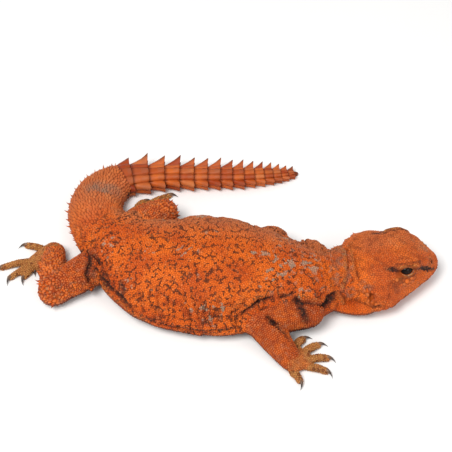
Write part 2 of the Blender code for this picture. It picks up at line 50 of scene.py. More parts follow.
spine = {
    # from the nape to the tail tip: x, y, half width, then heights of back, widest line and underside
    "stations": {
        "nape": (66, -30, 17.5, 25, 13, 4.5),
        "collar": (61.5, -30.96, 16.2, 24.6, 12.8, 3.8),
        "neck": (56, -33.5, 15.5, 24.5, 12.5, 3),
        "shoulders": (43, -36.5, 21, 29, 12, 0),
        "chest": (23, -35, 28.5, 33.5, 11, 0),
        "midriff": (-6, -31, 36, 35.5, 10.5, 0),
        "loin": (-34, -25.5, 32.5, 32, 10.5, 0),
        "hips": (-54.5, -12, 22.5, 26, 10, 0),
        "vent": (-66.5, 2, 16, 20.5, 9, 0),
        "tailRoot": (-72, 17, 14.3, 18, 8, 0),
        "tailBend": (-68.3, 32, 13, 15.5, 7, 0),
        "tailShoulder": (-58, 41.5, 10.2, 13, 6, 0),
        "tailStraight": (-43, 44.5, 7.4, 11, 5.5, 0),
        "tailMiddle": (-14, 45.5, 6.1, 9.6, 4.8, 0),
        "tailThin": (13, 46, 5.1, 8.2, 4.1, 0),
        "tailTaper": (32, 48.6, 3.1, 5.4, 2.6, 0),
        "tailTip": (41.5, 51, 1, 2.4, 1.1, 0),
    },
    "sideExponent": 0.92,
    "backExponent": 1.1,
    "bellyExponent": 0.8,
    "bellyPress": 1.6,
}
tail = {
    "baseWhorls": 8,
    "ringWhorls": 14,
    "firstRing": 9.4,
    "lastRing": 3.8,
    "bareTip": 3.0,
    "flare": 0.07,
    "plateTurns": (-20, 14, 50, 86, 119, 151, 181, 207),
    "spineLow": 0.04,
    "spineHigh": 0.5,
}
head = {
    # x, half widths at brow, eye, cheek, lip and jaw, then heights at crown, those five and chin
    "sections": (
        (-4, 9, 13, 16, 16, 11, 24, 22.5, 18.5, 13, 9.5, 6.5, 5.5),
        (0, 10, 15, 18.5, 18.5, 13, 25, 23.5, 19.5, 13.5, 9.5, 5.5, 4.5),
        (6, 11.5, 18.3, 21.8, 22.2, 16, 26.8, 25.2, 20.2, 13.6, 9.2, 4.2, 3.2),
        (12, 12.2, 19.6, 22.6, 22.8, 17, 28, 26.6, 20.6, 13.2, 8.6, 3.6, 2.7),
        (19, 12.4, 17.4, 20.2, 20.4, 15, 28.6, 27.4, 21, 13.2, 8.6, 3.7, 2.8),
        (26, 13.2, 14.2, 16.8, 16.8, 12, 28.4, 27.8, 21.6, 13.4, 9, 4.2, 3.3),
        (33, 10.4, 11.4, 13, 13, 9, 25.6, 24.8, 19.6, 13.2, 9.4, 5, 4.1),
        (39, 6.8, 8, 9.6, 9.6, 6.6, 21.6, 20.6, 16.6, 12.6, 9.6, 5.9, 5.2),
        (43.5, 3.6, 4.6, 5.9, 5.9, 4, 17.2, 16.4, 14.2, 11.8, 9.6, 7, 6.4),
        (46, 1.6, 2, 2.5, 2.5, 1.7, 14, 13.5, 12.4, 11, 9.8, 8.4, 8),
        (46.8, 0.2, 0.2, 0.3, 0.3, 0.2, 11.4, 11.3, 11.1, 10.9, 10.7, 10.5, 10.4),
    ),
    "yaw": math.radians(12),
    "mouthCorner": 13.5,
    "lipTurn": 122.0,
    "ear": (4.4, 18.9, 15.4),
    "earSize": (1.3, 3.4),
    "nostril": (40.2, 6.0, 19.0),
}
eye = {
    "centre": (24.8, 9.8, 21.4),
    "faces": (-0.05, 0.8, 0.6),
    "radius": 4.4,
    "lid": 1.0,
    "slit": (3.6, 2.1),
    "rim": 0.4,
    "field": 9.0,
}
limbs = {
    # joints: place and two radii of shoulder or hip, elbow or knee, and wrist or ankle
    # digits: x and y of each root and tip; hook: how far the claws bend aside
    "armRight": {
        "joints": ((40.5, -53.8, 13.2, 9.8, 10), (17, -59.4, 11.6, 8.9, 9.2), (32.5, -79.5, 5, 5.6, 4.6)),
        "digits": (
            (35.5, -68.5, 40.5, -63), (40, -72.5, 48.5, -66.8), (41.5, -77.2, 53, -75.5),
            (40.7, -81.2, 52, -84), (33.5, -84.5, 38.2, -91),
        ),
        "digitRadius": 2.1,
        "hook": 1.2,
    },
    "armLeft": {
        "joints": ((38, -25, 14, 8.5, 8.5), (24, -10, 13.5, 6.6, 6.8), (41, -14, 4.6, 4.8, 4.2)),
        "digits": (
            (46.5, -18, 54, -21), (48, -16.5, 57.5, -18.8), (48, -14.5, 58.5, -15.5),
            (47, -12.5, 57, -12.3), (43.5, -10.5, 49.5, -7.5),
        ),
        "digitRadius": 2.1,
        "hook": -1.2,
    },
    "legRight": {
        "joints": ((-60, -18, 11, 10.5, 10), (-90, -38.5, 8.4, 7.8, 8.2), (-92.5, -10, 5.2, 5.6, 5)),
        "digits": (
            (-100, -16, -103, -19.5), (-101.5, -16.5, -109, -25.5), (-103, -15.5, -116.5, -25.5),
            (-103.5, -13.5, -122, -18), (-97, -7, -110, -1.6),
        ),
        "digitRadius": 1.9,
        "hook": -1.2,
    },
    "legLeft": {
        "joints": ((-47, 0, 13, 10, 9.5), (-34, 11.5, 11.5, 7.8, 8.4), (-51, 15, 5, 4.8, 4.6)),
        "digits": (
            (-42, 21, -37.5, 22), (-42.5, 22.5, -34.5, 25.5), (-43.5, 24, -33, 30), (-45, 25, -30.5, 35),
            (-50, 24, -44.5, 30.5),
        ),
        "digitRadius": 1.9,
        "hook": 1.2,
    },
}
claws = {"length": 3.9, "radius": 1.3, "sunk": 1.6, "clear": 0.09, "sides": 10, "steps": 9}
skinMesh = {"voxel": 0.75, "smoothing": 5}
view = {
    "elevation": 50.0,
    "distance": 650.0,
    "pixelsPerMilli": 1.86,
    "lookAt": (0.0, 0.0, 15.0),
    "frame": 452,
}


def toMetres(points):
    return (np.asarray(points) - stanceMiddle) * milli


def fromMetres(points):
    return np.asarray(points) / milli + stanceMiddle


def cubic(knots, values, at):
    # Smooth curve through the values, with slopes from their neighbours.
    knots, values = np.asarray(knots, float), np.asarray(values, float)
    at = np.atleast_1d(np.asarray(at, float))
    slopes = np.gradient(values, knots, axis=0)
    i = np.clip(np.searchsorted(knots, at) - 1, 0, len(knots) - 2)
    span = knots[i + 1] - knots[i]
    t = (at - knots[i]) / span
    if values.ndim > 1:
        t, span = t[:, None], span[:, None]
    t2, t3 = t * t, t * t * t
    start = (2 * t3 - 3 * t2 + 1) * values[i] + (t3 - 2 * t2 + t) * span * slopes[i]
    return start + (3 * t2 - 2 * t3) * values[i + 1] + (t3 - t2) * span * slopes[i + 1]


def smooth(low, high, x):
    # 0 at low and 1 at high, eased; low may be the larger.
    t = np.clip((x - low) / (high - low), 0, 1)
    return t * t * (3 - 2 * t)


def bell(x, wide):
    # 1 where x is 0, falling away over a width.
    return np.exp(-((x / wide) ** 2))


def unit(v):
    return v / np.maximum(np.linalg.norm(v, axis=-1, keepdims=True), 1e-9)


def noiseAt(points, size, seed=0.0):
    return np.array([noise.noise(p) for p in (points / size + seed).tolist()])


def patches(points, size, seed, low, high):
    # Noise made into soft patches of 0 and 1.
    return smooth(low, high, noiseAt(points, size, seed))


def network(points, size, seed, wide):
    # Thin winding lines of 1 on 0.
    return 1 - smooth(0.0, wide, np.abs(noiseAt(points, size, seed)))


stationTable = np.array(list(spine["stations"].values()))
stationAt = np.concatenate([[0.0], np.cumsum(np.hypot(*np.diff(stationTable[:, :2], axis=0).T))])
spineLength = float(stationAt[-1])
sGrid = np.linspace(0, spineLength, 900)
rowGrid = cubic(stationAt, stationTable, sGrid)
aheadGrid = cubic(stationAt, stationTable[:, :2], np.minimum(sGrid + 0.5, spineLength))
aheadGrid = unit(aheadGrid - cubic(stationAt, stationTable[:, :2], np.maximum(sGrid - 0.5, 0)))


def along(name):
    return float(stationAt[list(spine["stations"]).index(name)])


def onGrid(table, s):
    return np.stack([np.interp(s, sGrid, column) for column in table.T], axis=-1)


def bodyPoint(s, angle, swell=1.0):
    # Points of the body's surface: angle 0 is the animal's left and 90 degrees is the back.
    row = onGrid(rowGrid, s)
    ahead = unit(onGrid(aheadGrid, s))
    half, top, widest, bottom = row[..., 2], row[..., 3], row[..., 4], row[..., 5]
    c, d = np.cos(angle), np.sin(angle)
    out = half * swell * np.sign(c) * np.abs(c) ** spine["sideExponent"]
    high = widest + (top * swell - widest) * np.maximum(d, 0) ** spine["backExponent"]
    low = widest - (widest - bottom + spine["bellyPress"]) * np.maximum(-d, 0) ** spine["bellyExponent"]
    z = np.maximum(np.where(d >= 0, high, low), np.maximum(bottom, 0))
    return np.stack([row[..., 0] + ahead[..., 1] * out, row[..., 1] - ahead[..., 0] * out, z], axis=-1)


def bodySurface(s, angle):
    # Points of the body's surface and the directions out of it.
    base = bodyPoint(s, angle)
    return base, unit(base - bodyPoint(s, angle, 0.6) + up * 1e-6)


def tailward(s):
    ahead = unit(onGrid(aheadGrid, s))
    return np.stack([ahead[..., 0], ahead[..., 1], 0 * ahead[..., 0]], axis=-1)


def trunkAt(s):
    behind = smooth(along("vent") - 2, along("vent") + 12, s)
    return smooth(along("neck") + 3, along("shoulders"), s) * (1 - behind)


# Rear edge and length of each tail whorl
ringLengths = np.linspace(tail["firstRing"], tail["lastRing"], tail["ringWhorls"])
tailStart = along("vent") + 4
baseLength = (spineLength - tail["bareTip"] - tailStart - ringLengths.sum()) / tail["baseWhorls"]
whorlLengths = np.concatenate([[baseLength] * tail["baseWhorls"], ringLengths])
whorlEdges = tailStart + np.cumsum(whorlLengths)


def whorlSwell(s):
    # Each whorl widens towards its rear edge and then steps in.
    k = np.searchsorted(whorlEdges, s)
    inside = (s > whorlEdges[0] - whorlLengths[0]) & (k < len(whorlEdges))
    k = np.clip(k, 0, len(whorlEdges) - 1)
    share = 1 - (whorlEdges[k] - s) / whorlLengths[k]
    flare = tail["flare"] * np.where(k >= tail["baseWhorls"] - 1, 1.0, 0.12)
    return np.where(inside, 1 + flare * (share * 1.7 * smooth(1.0, 0.9, share) - 0.7), 1.0)


headTable = np.array(head["sections"])


def headPoint(x, angle):
    # Points of the head in its own frame: x forward, y to its left, z up; 90 degrees is the crown.
    section = cubic(headTable[:, 0], headTable[:, 1:], x)
    widths, heights = section[:, :5], section[:, 5:]
    turn = (np.degrees(angle) - 90) % 360
    onRight = turn <= 180
    share = np.where(onRight, turn, 360 - turn) / 180 * 6
    zero = np.zeros(len(widths))
    y = np.stack([-widths[:, 0], zero, *widths.T, zero, -widths[:, 4]], axis=1)
    z = np.stack([heights[:, 1], *heights.T, heights[:, 5]], axis=1)
    i = np.clip(np.floor(share).astype(int), 0, 5)
    t = share - i
    rows = np.arange(len(y))
    out = []
    for table in (y, z):
        before, here, after, beyond = (table[rows, i + k] for k in range(4))
        out.append(
            here
            + 0.5 * t * (after - before)
            + t * t * (before - 2.5 * here + 2 * after - 0.5 * beyond)
            + t**3 * (-0.5 * before + 1.5 * here - 1.5 * after + 0.5 * beyond)
        )
    return np.stack([x, np.where(onRight, -out[0], out[0]), out[1]], axis=1)


napePlace = np.array([*spine["stations"]["nape"][:2], 0.0])
yawCos, yawSin = math.cos(head["yaw"]), math.sin(head["yaw"])
headTurn = np.array([[yawCos, -yawSin, 0], [yawSin, yawCos, 0], [0, 0, 1]])


def fromHead(p):
    return np.asarray(p, float) @ headTurn.T + napePlace


def toHead(p):
    return (np.asarray(p, float) - napePlace) @ headTurn


def mirrored(local):
    return np.stack([local[:, 0], np.abs(local[:, 1]), local[:, 2]], axis=1)


def jointAt(name, k):
    return np.array(limbs[name]["joints"][k][:3], float)


def limbRow(points, radii):
    points, radii = np.array(points, float), np.array(radii, float)
    knots = np.concatenate([[0], np.cumsum(np.linalg.norm(np.diff(points, axis=0), axis=1))])
    return {"knots": knots, "points": points, "radii": radii, "length": float(knots[-1])}


def limbFrame(row, share):
    # Centre, heading, side and lift directions and radii at shares of a limb's length.
    at = np.atleast_1d(share) * row["length"]
    place = cubic(row["knots"], row["points"], at)
    size = cubic(row["knots"], row["radii"], at)
    step = 0.02 * row["length"]
    ahead = cubic(row["knots"], row["points"], np.minimum(at + step, row["length"]))
    heading = unit(ahead - cubic(row["knots"], row["points"], np.maximum(at - step, 0)))
    side = unit(np.cross(heading, [0, 0, 1]))
    return place, heading, side, np.cross(side, heading), size


def limbRings(row, rings, sides):
    # Rings of a limb with round ends, pressed flat on the floor.
    place, heading, side, lift, size = limbFrame(row, np.linspace(0, 1, rings))
    turn = (fullTurn * np.arange(sides) / sides)[:, None]
    shares = np.sin(np.linspace(0, 90, 7)[1:-1] * np.pi / 180)
    steps = [(0, -share) for share in shares[::-1]] + [(k, 0) for k in range(rings)]
    made = []
    for k, push in steps + [(-1, share) for share in shares]:
        middle = place[k] + heading[k] * min(size[k]) * push
        across, tall = (way[k] * size[k, n] * math.sqrt(1 - push**2) for n, way in enumerate((side, lift)))
        made.append(middle + np.cos(turn) * across + np.sin(turn) * tall)
    made = np.array(made)
    made[..., 2] = np.maximum(made[..., 2], 0)
    return made


def splitLimb(limb):
    # Rows for the upper limb, the lower limb, the palm and each digit, with each claw's root and heading.
    (a, aSize), (b, bSize), (c, cSize) = [(row[:3], row[3:]) for row in np.array(limb["joints"], float)]
    r = limb["digitRadius"]
    upper = limbRow([a, (a + b) / 2 + up * 0.6, b], [aSize, (aSize + bSize) / 2 * 1.02, bSize])
    bent = b * 0.6 + c * 0.4 + up * 0.5
    lower = limbRow([b, bent, c], [bSize * 0.88, bSize * 0.62 + cSize * 0.38, cSize])
    knuckles = np.mean([[*digit[:2], 3.0] for digit in limb["digits"][1:4]], axis=0)
    knuckles[2] = r * 0.95
    thick = [cSize, cSize * (1.05, 0.85), (cSize[0] * 0.95, r * 1.25)]
    palm = limbRow([c, (c + knuckles) / 2, knuckles], thick)
    digits, nails = [], []
    for digit in limb["digits"]:
        root, tip = np.array([*digit[:2], 3.0]), np.array([*digit[2:], 3.0])
        heading = unit(tip - root)
        end = root + heading * (np.linalg.norm(tip - root) - claws["length"] * 0.5)
        end[2] = r * 0.62
        inner = root + (knuckles - root) * 0.35 + (c - root) * 0.12
        inner[2] = r
        low = np.array([root[0], root[1], r * 0.8])
        middle = (root + end) / 2
        middle[2] = (3.0 + end[2]) / 2 + 0.5
        digits.append(limbRow([inner, low, middle, end], [(r * k,) * 2 for k in (1.0, 0.92, 0.92, 0.86)]))
        nails.append((end + heading * r * 0.5, heading))
    rows = {"upper": upper, "lower": lower, "palm": palm} | {f"digit{k}": row for k, row in enumerate(digits)}
    return {"rows": rows, "claws": nails, "hook": limb["hook"]}


limbParts = {name: splitLimb(limb) for name, limb in limbs.items()}


def tubeFaces(rings, sides, first=0, loop=False):
    # Faces of a tube through rings of points, with a flat face at each end unless it is a loop.
    k, i = np.meshgrid(np.arange(rings - (not loop)), np.arange(sides), indexing="ij")
    j, m = (i + 1) % sides, (k + 1) % rings
    quads = np.stack([k * sides + i, k * sides + j, m * sides + j, m * sides + i], axis=-1)
    faces = (quads.reshape(-1, 4) + first).tolist()
    if not loop:
        faces.append([first + i for i in range(sides)][::-1])
        faces.append([first + (rings - 1) * sides + i for i in range(sides)])
    return faces


def makeObject(name, points, faces, finish=None, smoothShade=True):
    # An object from points in millimetres.
    data = bpy.data.meshes.new(name)
    data.from_pydata(toMetres(points).tolist(), [], faces)
    data.update()
    if smoothShade:
        data.shade_smooth()
    made = bpy.data.objects.new(name, data)
    bpy.context.scene.collection.objects.link(made)
    if finish:
        data.materials.append(finish)
    return made


def read(items, field, kind=np.int32, width=1):
    # One field of all the items of a mesh, as an array.
    found = np.empty(len(items) * width, kind)
    items.foreach_get(field, found)
    return found.reshape(-1, width) if width > 1 else found


def blob(centre, radii):
    # A closed egg shape for the flesh.
    u = np.linspace(0.03, math.pi - 0.03, 18)[:, None]
    v = np.linspace(0, fullTurn, 24, endpoint=False)
    ball = np.stack([np.sin(u) * np.cos(v), np.sin(u) * np.sin(v), np.cos(u) + 0 * v], axis=-1)
    return ball * radii + centre


# Flesh: the body, head and limbs, with the loose folds and lumps of the photo, made into one skin.
folds = {
    # tubes of loose skin: points along each, and its across and upright radii at each point
    "underSlot": (
        ((55.5, -47.5, 17), (53, -51, 15), (52.2, -51.4, 11), (53, -49, 8)),
        ((1.5, 1.5), (2.2, 2.2), (2.4, 2.4), (1.8, 1.8)),
    ),
    "jowl": (
        ((52, -46.6, 9.5), (57, -47.9, 8), (63, -48.9, 6.9), (69, -49.3, 6.6), (75, -49.5, 8.2),
         (80, -49.2, 9.6)),
        ((2, 2.2), (2.8, 2.8), (2.9, 3), (2.9, 3), (2.8, 2.8), (1.8, 2)),
    ),
    "dewlap": (((58, -44, 6.5), (66, -45, 5.5), (76, -44, 5.5)), ((3, 3), (3.8, 3), (3, 2.4))),
    "groin": (
        ((-58, -34, 17), (-66, -30.5, 18), (-71.5, -24, 18.5), (-73, -17, 16)),
        ((1.6, 1.6), (2.6, 2.4), (2.6, 2.4), (1.4, 1.4)),
    ),
    "thighFold": (((-76, -22, 14), (-74, -30, 14.5), (-70, -38, 9)), ((1.4, 1.4), (2, 2), (1.4, 1.4))),
}
lumps = {
    # centre and radii
    "farShoulder": ((43, -19, 15.5), (10, 6.5, 7.5)),
    "farElbow": ((23.5, -8.5, 16), (9.5, 6, 6)),
    "hipRight": ((-60, -17, 15), (11, 9, 9.5)),
    "hipLeft": ((-50, -1, 15), (10, 9, 9)),
}
rawPoints, rawFaces, rawLabel = [], [], []


def addFlesh(label, rings):
    rings = np.asarray(rings, float)
    faces = tubeFaces(*rings.shape[:2], len(rawPoints))
    rawPoints.extend(rings.reshape(-1, 3).tolist())
    rawFaces.extend(faces)
    rawLabel.extend([label] * len(faces))


ringAt = np.arange(1.0, spineLength - 0.2, 0.45)
sAll, turnAll = np.meshgrid(ringAt, np.linspace(0, fullTurn, 80, endpoint=False), indexing="ij")
addFlesh("body", bodyPoint(sAll, turnAll, whorlSwell(sAll)))
headAt = np.linspace(-3.5, 46.6, 90)
headX, headAngle = np.meshgrid(headAt, np.linspace(0, fullTurn, 72, endpoint=False), indexing="ij")
addFlesh("head", fromHead(headPoint(headX.ravel(), headAngle.ravel())).reshape(90, 72, 3))
lidRadius = eye["radius"] + eye["lid"]
for side in (-1, 1):
    centre = np.array(eye["centre"]) * (1, side, 1)
    addFlesh("head", fromHead(blob(centre, (lidRadius * 1.14, lidRadius, lidRadius))))
ringsOf = {"upper": (18, 28), "lower": (16, 28), "palm": (8, 24)}
for name, part in limbParts.items():
    for key, row in part["rows"].items():
        addFlesh(f"{name}.{key}", limbRings(row, *ringsOf.get(key, (14, 16))))
for points, radii in folds.values():
    addFlesh("body", limbRings(limbRow(points, radii), 16, 14))
for centre, radii in lumps.values():
    addFlesh("body", blob(centre, radii))
labels, rawLabel = np.unique(rawLabel, return_inverse=True)
labels = labels.tolist()
skin = makeObject("skin", rawPoints, rawFaces)
print(f"flesh: {len(rawFaces)} faces")

remesh = skin.modifiers.new("oneSkin", "REMESH")
remesh.mode = "VOXEL"
remesh.voxel_size = skinMesh["voxel"] * milli
remesh.use_smooth_shade = True
soften = skin.modifiers.new("soften", "SMOOTH")
soften.factor = 0.5
soften.iterations = skinMesh["smoothing"]
coarse = skin.data
oneSkin = bpy.data.meshes.new_from_object(skin.evaluated_get(bpy.context.evaluated_depsgraph_get()))
skin.modifiers.clear()
skin.data = oneSkin
bpy.data.meshes.remove(coarse)
oneSkin.name = skin.name
print(f"skin: {len(oneSkin.polygons)} faces after the remesh")

# The head is split once more, so that lids, lips and nostrils have room for their edges.
mesh = bmesh.new()
mesh.from_mesh(oneSkin)
fine = []
for edge in mesh.edges:
    x, y, z = toHead(fromMetres((np.array(edge.verts[0].co) + np.array(edge.verts[1].co)) / 2))
    if x > -2 and abs(y) < 30 and z > 1.5:
        fine.append(edge)
bmesh.ops.subdivide_edges(mesh, edges=fine, cuts=1, use_grid_fill=True, smooth=0.0)
bmesh.ops.triangulate(mesh, faces=[face for face in mesh.faces if len(face.verts) > 4])
mesh.to_mesh(oneSkin)
mesh.free()
oneSkin.update()
skinPoints = fromMetres(read(oneSkin.vertices, "co", np.float32, 3).astype(float))
rawTree = BVHTree.FromPolygons(rawPoints, rawFaces)
skinLabel = np.array([rawLabel[rawTree.find_nearest(p)[2]] for p in skinPoints.tolist()])
print(f"skin: {len(skinPoints)} points, {len(oneSkin.polygons)} faces with a finer head")


def bodyCoords(points):
    # Distance along the spine, angle round it, with 90 degrees at the back, and way across of each point.
    s = np.empty(len(points))
    batch = 8000
    for first in range(0, len(points), batch):
        part = points[first : first + batch, None, :2] - rowGrid[None, :, :2]
        s[first : first + batch] = sGrid[np.argmin((part**2).sum(axis=2), axis=1)]
    row = onGrid(rowGrid, s)
    ahead = unit(onGrid(aheadGrid, s))
    across = (points[:, 0] - row[:, 0]) * ahead[:, 1] - (points[:, 1] - row[:, 1]) * ahead[:, 0]
    rise = (points[:, 2] - row[:, 4]) / np.maximum(row[:, 3] - row[:, 4], 1)
    return s, np.arctan2(rise, across / row[:, 2]), across


def softNear(points, centre, radii):
    # A soft weight round a place: 1 near its middle and 0 well outside its radii.
    return 1 - smooth(0.4, 1.6, np.linalg.norm((points - np.asarray(centre)) / np.asarray(radii), axis=1))


def eyeFrame(side):
    centre = np.array(eye["centre"]) * (1, side, 1)
    outward = unit(np.array(eye["faces"]) * (1, side, 1))
    forward = unit(np.array([1.0, 0, 0]) - outward * outward[0])
    return centre, outward, forward, np.cross(forward, outward) * -side


def eyeSpace(local, side):
    # Offsets from an eye's centre, how far out each lies, with the lids' edge at 1, and how far forward.
    centre, outward, forward, lift = eyeFrame(side)
    q = local - centre
    direction = unit(q)
    a = np.abs(direction @ forward * lidRadius / eye["slit"][0])
    b = np.abs(direction @ lift * lidRadius / eye["slit"][1])
    near = (direction @ outward > 0.2) & (np.linalg.norm(q, axis=1) < eye["field"])
    return q, np.where(near, (a**1.7 + b**1.9) ** (1 / 1.8), 9.0), a


def earAndNostril(local):
    # How far each point lies from the middle of the ear, in its radii, and of the nostril, in millimetres.
    off = np.abs(mirrored(local) - np.array(head["ear"]))
    ear = np.hypot(off[:, 0] / head["earSize"][0], off[:, 2] / head["earSize"][1])
    nostril = np.linalg.norm(mirrored(local) - np.array(head["nostril"]), axis=1)
    return np.where(off[:, 1] < 5, ear, 9.0), nostril


headForms = (
    # centre, radii and height of each swelling or hollow, on both sides of the head
    ((8.5, 12.0, 24.5), (6.0, 5.0, 5.0), 1.0),  # rear of the skull
    ((7.0, 19.0, 13.5), (7.0, 5.0, 6.0), 0.9),  # jaw muscle
    ((17.5, 15.0, 24.5), (3.2, 3.6, 3.6), -1.0),  # temple
    ((16.5, 0.0, 29.0), (4.5, 3.0, 4.0), -0.8),  # dip of the crown
    ((18.5, 17.0, 19.0), (5.0, 3.0, 2.6), 0.7),  # swelling behind the eye
    ((25.0, 15.0, 18.0), (5.5, 2.6, 1.7), 0.75),  # pad of large scales under the eye
    ((29.5, 10.5, 26.0), (4.0, 2.6, 2.6), 0.7),  # front of the brow
    ((35.5, 7.0, 23.6), (4.5, 2.4, 2.4), 0.5),  # edge of the snout
    ((34.0, 10.8, 18.6), (4.6, 2.4, 2.2), -0.6),  # hollow before the eye
    ((12.5, 21.0, 9.5), (5.0, 3.5, 3.0), 0.8),  # corner of the jaw
    ((9.6, 20.5, 17.0), (1.6, 3.0, 4.0), -0.5),  # behind the ear
    ((30.0, 0.0, 27.5), (5.0, 2.5, 3.0), -0.35),  # middle of the snout
)
# Place, width and height of each fold across the neck
neckFolds = ((-11.5, 1.1, 0.7), (-15.5, 1.3, 0.55), (-20.5, 1.6, 0.45))
wrinkles = {"flank": 1.0, "flankSize": 4.3, "neck": 0.8, "rim": 0.7, "limb": 0.4}
creases = {
    # half width, height (below 0 is a groove), darkness, which is painted shade in the grooves, under the
    # folds and under the arm, ochre and points, in the part's own places
    "flapRear": (
        0.9, -1.9, 1.3, 0, (7, -62.3, 19), (10, -61.5, 22.4), (12.5, -59.4, 23.2), (15, -58.6, 25),
        (18.1, -56.6, 25), (22, -56.2, 26), (25, -55.3, 27),
    ),
    "flapRearLip": (
        1.1, 0.9, 0, 0.3, (7, -60.9, 21.2), (12.5, -57.8, 25), (15, -57.2, 26.8), (18.1, -55.1, 27),
        (22, -54.8, 27.8), (25, -54, 28.6),
    ),
    "flapMiddle": (0.8, -1.6, 1.3, 0, (26.7, -54.8, 24.6), (30.6, -55.1, 25.9), (33.7, -52.8, 26.1)),
    "flapMiddleLip": (1, 0.8, 0, 0.25, (26.7, -53.6, 26.8), (30.6, -53.8, 27.7), (33.7, -51.4, 27.9)),
    "flapFront": (
        0.85, -2.1, 1.4, 0, (34.8, -54.7, 22.9), (38.2, -56.3, 23.2), (43.2, -56.6, 21.8),
        (47.5, -55.8, 18.9), (50.2, -54, 16.8),
    ),
    "flapFrontLip": (
        1, 0.9, 0, 0.5, (37, -53.8, 25), (43.2, -54.8, 23.8), (47.5, -54.4, 21), (50.6, -52.8, 18.8),
    ),
    "flankUp": (1, 0.8, 0, 0.25, (1, -61.8, 22.5), (5.5, -59.5, 25.2), (9, -56.4, 27.9)),
    "flankUpGroove": (0.8, -0.8, 0.4, 0, (3, -62.4, 21.4), (7.6, -60.1, 24), (11, -57, 26.9)),
    "flankSmall": (0.8, -0.9, 0.9, 0, (6, -63.1, 21), (5, -64.3, 17.5), (5, -65.7, 15.1)),
    "elbow": (
        0.95, -3, 1.3, 0, (21, -63.6, 20), (22.4, -65.1, 18.5), (25.6, -66.3, 16.8), (28.6, -68.5, 14.7),
        (30.6, -70.6, 12), (31.4, -71, 8),
    ),
    "slot": (2.2, -3.2, 1.9, 0, (50.6, -52.9, 16.6), (52.5, -51.7, 18), (54.6, -50.2, 18.6)),
    "neckRear": (0.6, -0.9, 0.5, 0, (54.6, -39.7, 24.2), (55, -45, 21.9), (55.5, -48.5, 19)),
    "neckLow": (1, 0.9, 0, 0.6, (56.4, -47.5, 18.4), (58.3, -48.6, 15.7), (60.1, -48.2, 11.5)),
    "neckLowGroove": (0.8, -0.9, 0.8, 0, (57.9, -46.6, 18.6), (59.8, -47.8, 15.7), (61.5, -47.4, 11.5)),
    "foldA": (
        0.8, 1.1, 0, 0.75, (60.9, -22.3, 23.8), (61.4, -30.5, 24.1), (60.9, -38.3, 24.1),
        (60.3, -42.5, 21.8), (59.2, -45.2, 19.6),
    ),
    "foldAGroove": (
        0.6, -1, 0.4, 0, (62.5, -22.3, 24), (63, -30.5, 24.3), (62.5, -38.3, 24.2), (61.9, -42.5, 21.8),
        (60.8, -45.2, 19.8),
    ),
    "foldB": (
        0.7, 0.9, 0, 0.6, (64.8, -24, 25), (65, -30.5, 25), (65.4, -36.8, 24.6), (66, -41.1, 23),
        (66.4, -43.9, 21.1),
    ),
    "foldBGroove": (
        0.55, -0.8, 0.35, 0, (66.3, -26, 25), (66.5, -30.5, 25), (66.9, -36.8, 24.5),
        (67.4, -41.1, 22.9), (67.8, -43.9, 21),
    ),
    "jawLow": (0.8, -1.1, 0.9, 0, (64.9, -47.4, 10.6), (67.8, -49, 11.5), (69.4, -49.2, 12)),
    "groinA": (
        1.1, -2.1, 1.2, 0, (-73.4, -18.4, 18.1), (-71.4, -23.9, 20.6), (-70.4, -26.8, 20.6),
        (-71.3, -30.5, 19), (-72.4, -34.1, 16.6), (-70.6, -36.3, 13),
    ),
    "groinB": (
        1.1, -1.7, 1.6, 0, (-68.8, -24.3, 20.6), (-65.6, -29, 19.7), (-62.6, -33.9, 18.2),
        (-59.9, -39.3, 17),
    ),
    "groinC": (1, -1.3, 1.4, 0, (-66.8, -32.3, 18.5), (-64.5, -34.6, 15), (-61.8, -38.8, 13.6)),
    "bellyRear": (
        1, -1.3, 1.2, 0, (-63.3, -36.8, 14.5), (-58.7, -42.6, 15.4), (-53.8, -48.5, 15),
        (-49, -53, 14.2),
    ),
    "bellyRearRim": (
        1.1, 0.8, 0, 0.9, (-63.5, -38.2, 12), (-59.2, -44.8, 12.2), (-54.2, -50.6, 12),
        (-49, -55.2, 11.4), (-41, -59.5, 9.6),
    ),
    "bellyMid": (
        0.9, -0.9, 0.7, 0, (-49, -53, 14.2), (-41.3, -57.6, 12.4), (-31, -62, 11), (-18.2, -65.4, 11.4),
        (-5.5, -66.8, 12.5), (7.1, -65.2, 12.7),
    ),
    "bellyDeep": (0.8, -0.8, 0.7, 0, (-46, -50.5, 19), (-36, -56, 18.5), (-27, -58.5, 18.5)),
    "flankDark": (1.7, -0.4, 0.85, 0, (-53.1, -43.7, 21), (-52, -46.5, 19.6), (-53.2, -47.8, 15.5)),
    "flankLow": (1.2, -0.6, 0.75, 0, (-40, -47, 24), (-43, -51, 21.5), (-41, -54, 18.5)),
    "flankNear": (0.9, -0.6, 0.6, 0, (-12, -57.5, 23), (-14, -61, 19.5), (-11, -63.2, 15.5)),
    "tailInner": (1.8, -0.5, 1, 0, (-54.9, 30.5, 4.8), (-52.2, 33.6, 6.4), (-48.8, 36.3, 8.4)),
    "armBand": (
        1.9, -0.2, 1.15, 0, (34.3, -55, 22.3), (36.2, -57.1, 22.8), (38.1, -60.2, 21.2),
        (39.4, -62.6, 18.5), (40.6, -63.4, 15.5),
    ),
    "armUnder": (2, 0, 0.9, 0, (29, -70, 8), (33.5, -67.4, 7), (39, -65.4, 7), (45, -62.4, 8)),
}
